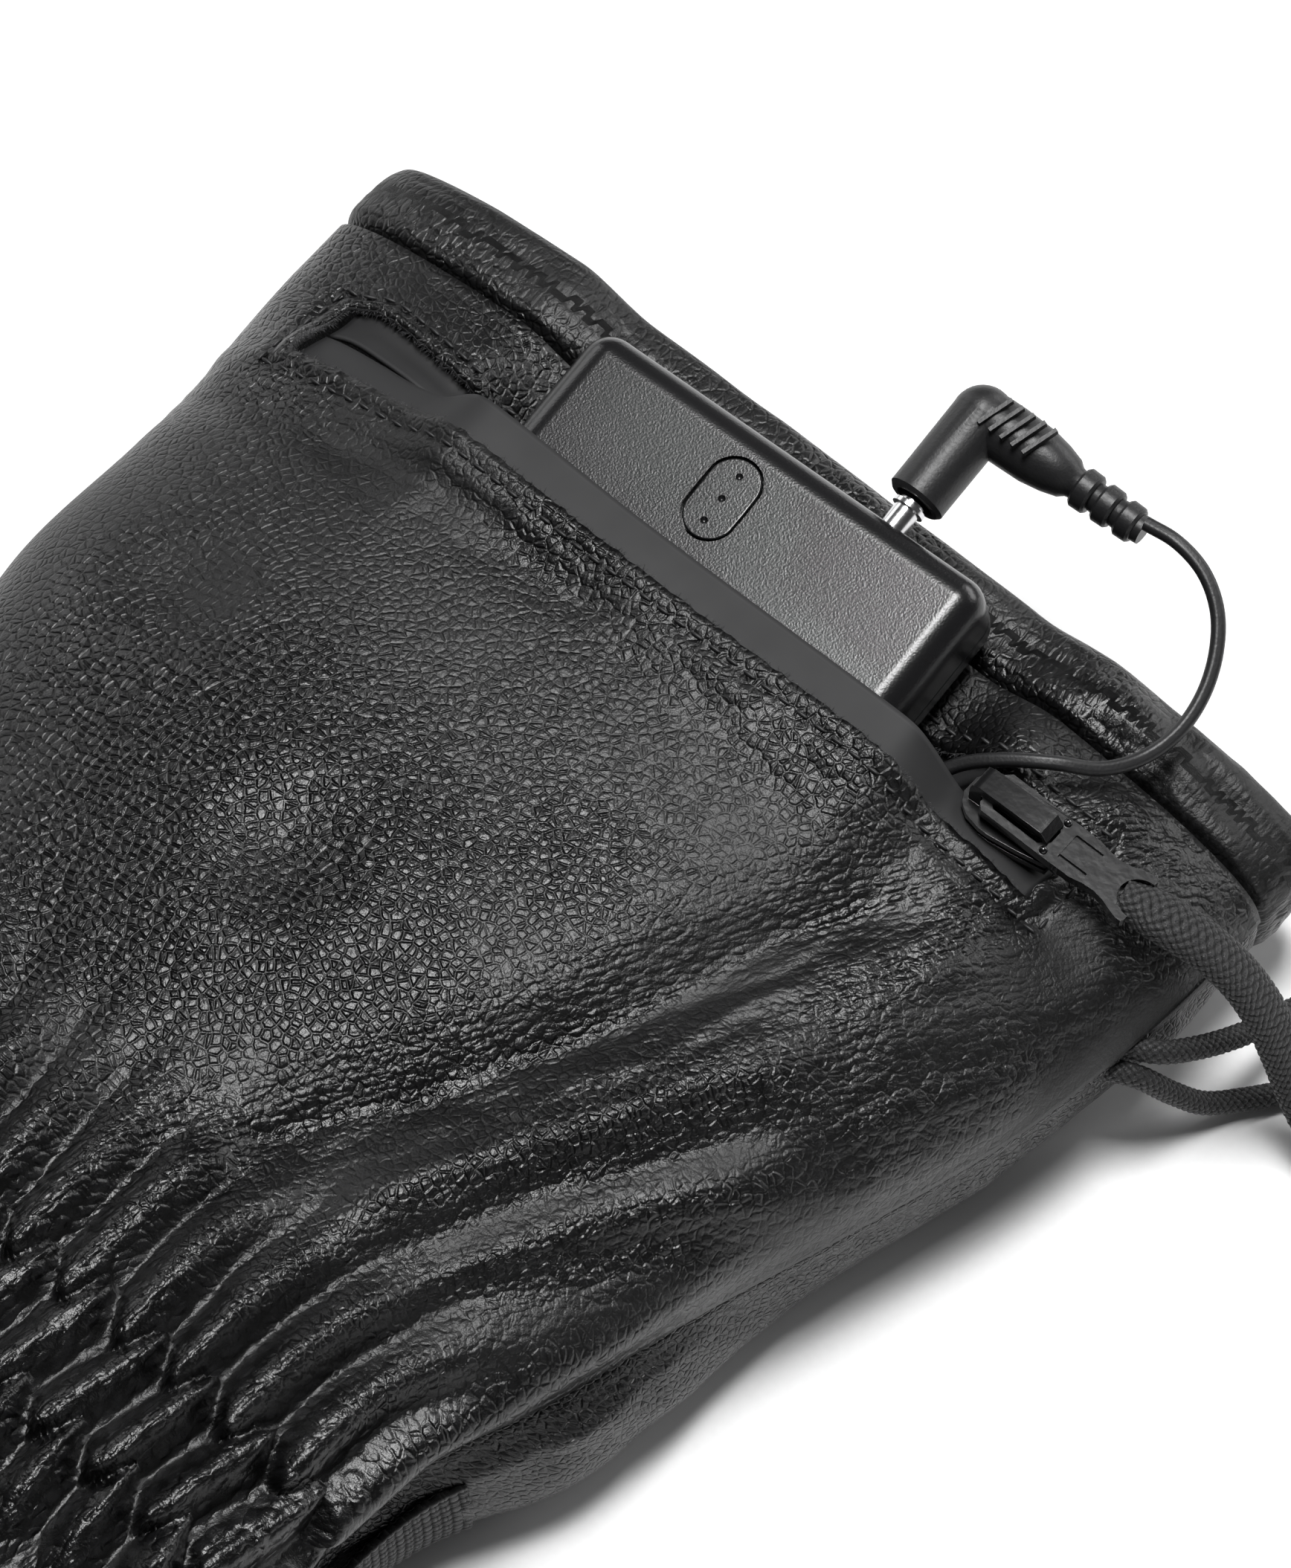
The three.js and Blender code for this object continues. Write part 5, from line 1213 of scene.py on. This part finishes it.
def gloss_lacquer():
    """Black stoving lacquer over zinc: a hard clear gloss that rounds off every edge"""
    made, tree, shader, where = new_material("gloss_lacquer", Base_Color=linear("#0c0c0d"), Roughness=0.2,
                                             IOR=1.6, Coat_Weight=0.5, Coat_Roughness=0.06)
    flow = add_node(tree, "TexNoise", {"Vector": where, "Scale": 700, "Detail": 2})
    bump = add_node(tree, "Bump", {"Height": flow, "Strength": 0.3, "Distance": 0.00008})
    set_inputs(shader, {"Normal": bump})
    return made


def outline_plate(points, thickness, hole=None):
    """Plate of an outline of (x, y) pairs, from z = 0 up, with a hole of the same kind"""
    shape = bmesh.new()
    shape.faces.new([shape.verts.new((x, y, 0)) for x, y in points])
    shape = raised_plate(shape, thickness)
    if hole:
        cutter = outline_plate(hole, thickness + 2)
        bmesh.ops.translate(cutter, verts=cutter.verts, vec=(0, 0, -1))
        shape = boolean(shape, [cutter])
    return shape


def slider_shape():
    """Two wing plates on a core, with the bridge that the puller hangs round"""
    half, wide = SLIDER_LENGTH / 2, SLIDER_WIDTH / 2
    side = [(-half, 1.2), (-half + 0.7, 2.6), (-half + 2.2, 3.7), (-half + 4.5, wide), (-1, wide),
            (3, wide * 0.88), (half, wide * 0.7)]
    wings = [*side, *[(x, -y) for x, y in side[::-1]]]
    low, high = outline_plate(wings, WING_THICKNESS), outline_plate(wings, WING_THICKNESS)
    bmesh.ops.translate(high, verts=high.verts, vec=(0, 0, SLIDER_THICKNESS - WING_THICKNESS))
    core = bmesh.new()
    bmesh.ops.create_cube(core, size=1)
    bmesh.ops.scale(core, verts=core.verts, vec=(SLIDER_LENGTH - 1.5, 2.6, 1.4))
    bmesh.ops.translate(core, verts=core.verts, vec=(0, 0, SLIDER_THICKNESS / 2))
    end, leg = BRIDGE_LENGTH / 2, 1.8
    arch = outline_plate([(-end, -0.4), (-end + leg, -0.4), (-end + leg, BRIDGE_HEIGHT - 1.5),
                          (end - leg, BRIDGE_HEIGHT - 1.5), (end - leg, -0.4), (end, -0.4),
                          (end - 0.1, BRIDGE_HEIGHT - 1.3), (end - 1.1, BRIDGE_HEIGHT - 0.1),
                          (end - 2, BRIDGE_HEIGHT), (-end + 1.4, BRIDGE_HEIGHT),
                          (-end + 0.3, BRIDGE_HEIGHT - 0.5), (-end, BRIDGE_HEIGHT - 1.4)], BRIDGE_WIDTH)
    bmesh.ops.rotate(arch, verts=arch.verts, matrix=Matrix.Rotation(math.pi / 2, 3, "X"))
    bmesh.ops.translate(arch, verts=arch.verts, vec=(0, BRIDGE_WIDTH / 2, SLIDER_THICKNESS))
    return moved(boolean(low, [high, core, arch], "UNION"), in_slider)


def puller_shape():
    """A frame round the bridge, and a waisted tongue with a bite for the cord and a fine groove"""
    window = (BRIDGE_WIDTH + 0.9) / 2
    neck = PLATE_START
    ring = outline_plate([(0, -FRAME_HALF + 0.8), (0.8, -FRAME_HALF), (neck + 1.4, -FRAME_HALF),
                          (neck + 1.4, FRAME_HALF), (0.8, FRAME_HALF), (0, FRAME_HALF - 0.8)],
                         PULLER_THICKNESS,
                         [(1.2, -window + 0.6), (1.8, -window), (neck - 1.6, -window),
                          (neck - 0.3, -window + 1.2), (neck - 0.3, window - 1.2), (neck - 1.6, window),
                          (1.8, window), (1.2, window - 0.6)])
    halves = [(0, 3.25), (4.2, 3.2), (6, 2.8), (7.6, 2.7), (9.2, 3.0), (10.6, 3.5), (11.8, 3.85),
              (12.5, 3.8), (TONGUE_LENGTH, 3.5)]
    bite = [(12.6 + 2.9 * math.cos(a), 2.75 * math.sin(a)) for a in np.linspace(0, 2 * math.pi, 33)[:-1]]
    tongue = outline_plate([*halves, *[(x, -y) for x, y in halves[::-1]]], PULLER_THICKNESS, bite)
    groove = outline_plate([(1.0, -1.95), (5.6, -1.95), (5.6, -1.45), (1.5, -1.45), (1.5, 1.45),
                            (5.6, 1.45), (5.6, 1.95), (1.0, 1.95)], 1)
    bmesh.ops.translate(groove, verts=groove.verts, vec=(0, 0, PULLER_THICKNESS - GROOVE_DEPTH))
    lay_level = Matrix.Translation((neck, 0, 0)) @ Matrix.Rotation(math.radians(2) - PULLER_DIP, 4, "Y")
    tongue = moved(boolean(tongue, [groove]), lay_level)
    pins = []
    for side in (-1, 1):
        pin = bmesh.new()
        bmesh.ops.create_uvsphere(pin, u_segments=20, v_segments=12, radius=0.55)
        bmesh.ops.translate(pin, verts=pin.verts, vec=(neck - 0.4, side * 2.45, PULLER_THICKNESS + 0.05))
        pins.append(pin)
    hang = (Matrix.Translation((-BRIDGE_LENGTH / 2 + 2.1, 0, SLIDER_THICKNESS + 1.1))
            @ Matrix.Rotation(PULLER_DIP, 4, "Y"))
    return moved(boolean(ring, [tongue, *pins], "UNION"), in_slider @ hang)


lacquer = gloss_lacquer()
soft_edges = [("BEVEL", {"width": 0.0004, "segments": 4, "limit_method": "ANGLE",
                         "angle_limit": math.radians(35)}), flat_faces]
for name, shape, node in (("zip_slider_body", slider_shape(), "zip_slider"),
                          ("zip_puller_tab", puller_shape(), "zip_puller")):
    finish_piece(name, shape, lacquer, [node], sharp=35, modifiers=soft_edges)


# Strap down the side of the wrist: nylon webbing in a coarse basket weave, sewn in under the edge of
# the glove's back.
STRAP_EDGES = (0.982, 0.86)
STRAP_START = 11
STRAP_THICKNESS = 1.5
WEAVE_CELL = 1.25


def strap_points():
    """The webbing's outer face, and at each vertex the height of its weave, lowered at the split of each
    float, which the colour uses for painted shade in the gaps
    """
    rows, columns = 300, 110
    y, v = np.meshgrid(np.linspace(STRAP_START, 2 - WRIST_LENGTH, rows),
                       np.linspace(*STRAP_EDGES, columns), indexing="ij")
    inner, outer = under_point(v, y, -0.9), under_point(v, y, -1.2 - STRAP_THICKNESS)
    out = outer - inner
    out = out / np.linalg.norm(out, axis=2, keepdims=True)
    run = np.cumsum(np.linalg.norm(np.diff(outer, axis=1, prepend=outer[:, :1]), axis=2), axis=1)
    along, across = y / WEAVE_CELL, run / WEAVE_CELL
    over = (np.floor(along) + np.floor(across)) % 2 == 0
    in_along, in_across = along % 1 * 2 - 1, across % 1 * 2 - 1
    crest = np.where(over, np.sqrt(np.clip(1 - in_along**2 * 0.92, 0, 1)) * (1 - 0.45 * in_across**2),
                     np.sqrt(np.clip(1 - in_across**2 * 0.92, 0, 1)) * (1 - 0.45 * in_along**2))
    twin = np.where(over, np.abs(in_along), np.abs(in_across)) < 0.12
    edge = np.minimum(run, run[:, -1:] - run)
    relief = 0.42 * crest - 0.1 * twin - 0.45 + 0.25 * np.exp(-(edge / 0.8) ** 2)
    # The twin term lowers the crest value at the split of each float, which the colour turns into deeper
    # painted shade
    return outer + out * relief[:, :, None], crest - 0.4 * twin


def nylon_webbing():
    """Black nylon webbing: bright filament bundles that shine along each float of the weave, with painted
    shade in the gaps between floats
    """
    made, tree, shader, where = new_material("nylon_webbing", IOR=1.53)
    fibre = add_node(tree, "TexNoise", {"Vector": where, "Scale": 5200, "Detail": 2})
    yarn_colour_and_gap_shade(tree, shader, fibre, "#0a0a0b", "#1c1c1e")
    bump = add_node(tree, "Bump", {"Height": fibre, "Strength": 0.6, "Distance": 0.0001})
    set_inputs(shader, {"Normal": bump})
    return made


strap_grid, strap_crest = strap_points()
strap_shape = panel(strap_grid, crest=strap_crest)
bmesh.ops.recalc_face_normals(strap_shape, faces=strap_shape.faces)
finish_piece("wrist_strap_webbing", strap_shape, nylon_webbing(), ["wrist_strap"], sharp=180,
             modifiers=[("SOLIDIFY", {"thickness": 0.0011, "offset": -1})])


# Pocket bag: thin knitted polyester, sewn into a pouch that holds the battery inside the cuff.
def knitted_lining():
    """Dull black warp knit: fine ribs along the pouch"""
    made, tree, shader, where = new_material("knitted_lining", Roughness=0.85, Sheen_Weight=0.3)
    ribs = add_node(tree, "TexWave", {"Vector": where, "Scale": 320, "Distortion": 1.5, "Detail": 2,
                                      "Detail Scale": 4}).outputs["Fac"]
    tone = add_node(tree, "Mix", {"Factor": ribs, "A": linear("#111112"), "B": linear("#232325")},
                    data_type="RGBA")
    bump = add_node(tree, "Bump", {"Height": ribs, "Distance": 0.0002})
    set_inputs(shader, {"Base Color": tone, "Normal": bump})
    return made


finish_piece("pocket_bag_cloth", cad_copy("pocket_bag"), knitted_lining(), ["pocket_bag"],
             sharp=50)


# Hand and fingers: the same leather, cut in a back, a palm, three fourchettes between the fingers
# and a thumb, and sewn edge to edge. Each panel is the CAD solid's form with soft creases.
FORM_STEP = 0.0011
PAST_FORM = 0.00028


def leather_of(node, rough, seed):
    """A CAD node's form in fine even faces, smoothed, with soft creases in its outside"""
    shape = applied(cad_copy(node), [("REMESH", {"mode": "VOXEL", "voxel_size": FORM_STEP}),
                                     ("SMOOTH", {"factor": 0.5, "iterations": 12})])
    shape.normal_update()
    grain, drawn = (shape.verts.layers.float.new(layer) for layer in ("grain", "drawn"))
    pull, flat = (shape.verts.layers.float_vector.new(layer) for layer in ("pull", "flat"))
    shift = Vector((seed * 3.1, seed * 1.7, seed * 0.6))
    for v in shape.verts:
        swell = noise.noise(v.co * 55 + shift)
        crease = noise.noise(Vector((v.co.x * 110, v.co.y * 300, v.co.z * 110)) + shift)
        wrinkle = noise.noise(Vector((v.co.x * 320, v.co.y * 640, v.co.z * 320)) + shift)
        v[grain] = min(max(0.65 + 0.5 * swell, 0.2), 1.0)
        v[drawn] = 0.35
        v[pull] = (v.co.y + v.co.z, v.co.x, 0)
        v[flat] = (v.co.x + v.co.z, v.co.y, 0)
        v.co += v.normal * (PAST_FORM + rough * (0.0005 * swell + 0.0004 * crease + 0.00014 * wrinkle))
        v.co.z = max(v.co.z, 0)
    return shape


for seed, (node, material, key, rough) in enumerate([
        ("hand_back", leather, "leather", 1.0), ("hand_palm", gusset_leather, "under_leather", 0.7),
        ("fourchette_1", leather, "leather", 0.5), ("fourchette_2", leather, "leather", 0.5),
        ("fourchette_3", leather, "leather", 0.5), ("thumb", leather, "leather", 0.9)]):
    finish_piece(f"{node}_leather", leather_of(node, rough, seed), material, [node], sharp=180)


# Stitches and raw fibres along the slot: a heavy black thread at the stitching's distance from the
# edge, and the nap that stands out of the cut leather.
STITCH_LENGTH = 2.0
STITCH_GAP = 0.8
THREAD = 0.55
back_surface = bmesh.new()
back_surface.from_mesh(back.data)
back_tree = BVHTree.FromBMesh(back_surface)
back_surface.free()


def on_back(x, y, lift=0.0):
    """Point on the back's leather at a place seen from above"""
    hit = back_tree.ray_cast(Vector((*place(x, y + slant(x, y)).xy, 0.1)), Vector((0, 0, -1)))[0]
    return None if hit is None else hit + Vector((0, 0, lift / 1000))


def slot_edge(offset):
    """Closed line round the slot at a distance outside its edge"""
    xs = np.linspace(SLOT_LEFT - offset, SLOT_RIGHT + offset, 500)
    low = [(x, float(slot_low(x)) - offset) for x in xs]
    high = [(x, float(slot_high(x)) + offset) for x in xs[::-1]]
    return np.array([*low, *high, low[0]])


def spread(line, step):
    """Places and directions at even steps along a line"""
    run = run_along(line)
    at = np.arange(step / 2, run[-1], step)
    xy = at_distances(line, run, at)
    return xy, at_distances(line, run, at + 0.3) - xy


def stitch_row():
    """One short rounded stitch after another"""
    shape = bmesh.new()
    for (x, y), (dx, dy) in zip(*spread(slot_edge(STITCH_INSET), STITCH_LENGTH + STITCH_GAP)):
        centre = on_back(x, y, 0.16)
        if centre is None:
            continue
        made = bmesh.ops.create_uvsphere(shape, u_segments=8, v_segments=7, radius=1)["verts"]
        turn = Matrix.Rotation(math.atan2(dy, dx), 4, "Z")
        bmesh.ops.transform(shape, verts=made, matrix=Matrix.Translation(centre) @ turn @ Matrix.Diagonal(
            (STITCH_LENGTH / 2000, THREAD / 2000, THREAD / 2000, 1)))
    return shape


def bonded_thread():
    """Bonded polyester thread, black, with the faint gloss of its coating"""
    made, tree, shader, where = new_material("bonded_thread", Roughness=0.5)
    ply = add_node(tree, "TexNoise", {"Vector": where, "Scale": 4000})
    tone = add_node(tree, "Mix", {"Factor": ply, "A": linear("#0e0e0f"), "B": linear("#222223")},
                    data_type="RGBA")
    set_inputs(shader, {"Base Color": tone})
    return made


finish_piece("slot_stitches", stitch_row(), bonded_thread(), sharp=180)


def raw_fibres():
    """Hairs of random length and lean along the cut edge, each one tapering to a point"""
    chance = random.Random(7)
    shape = bmesh.new()
    for (x, y), (dx, dy) in zip(*spread(slot_edge(0.12), 0.13)):
        root = on_back(x, y, -0.25 - 0.6 * chance.random())
        if root is None:
            continue
        inward = Vector((-dy, dx, 0)).normalized()
        side = Vector((dx, dy, 0)).normalized()
        lean = inward + side * chance.uniform(-0.9, 0.9) + Vector((0, 0, chance.uniform(-0.5, 0.5)))
        reach = lean.normalized() * (chance.uniform(0.35, 1.2) / 1000)
        bend = Vector((0, 0, chance.uniform(-0.3, 0.15) / 1000))
        half = side * 0.05 / 1000
        waist = root + reach * 0.6
        for corners in ((root - half, root + half, waist + half * 0.8, waist - half * 0.8),
                        (waist - half * 0.8, waist + half * 0.8, root + reach + bend)):
            shape.faces.new([shape.verts.new(q) for q in corners])
    return shape


finish_piece("slot_fibres", raw_fibres(), suede, sharp=180)
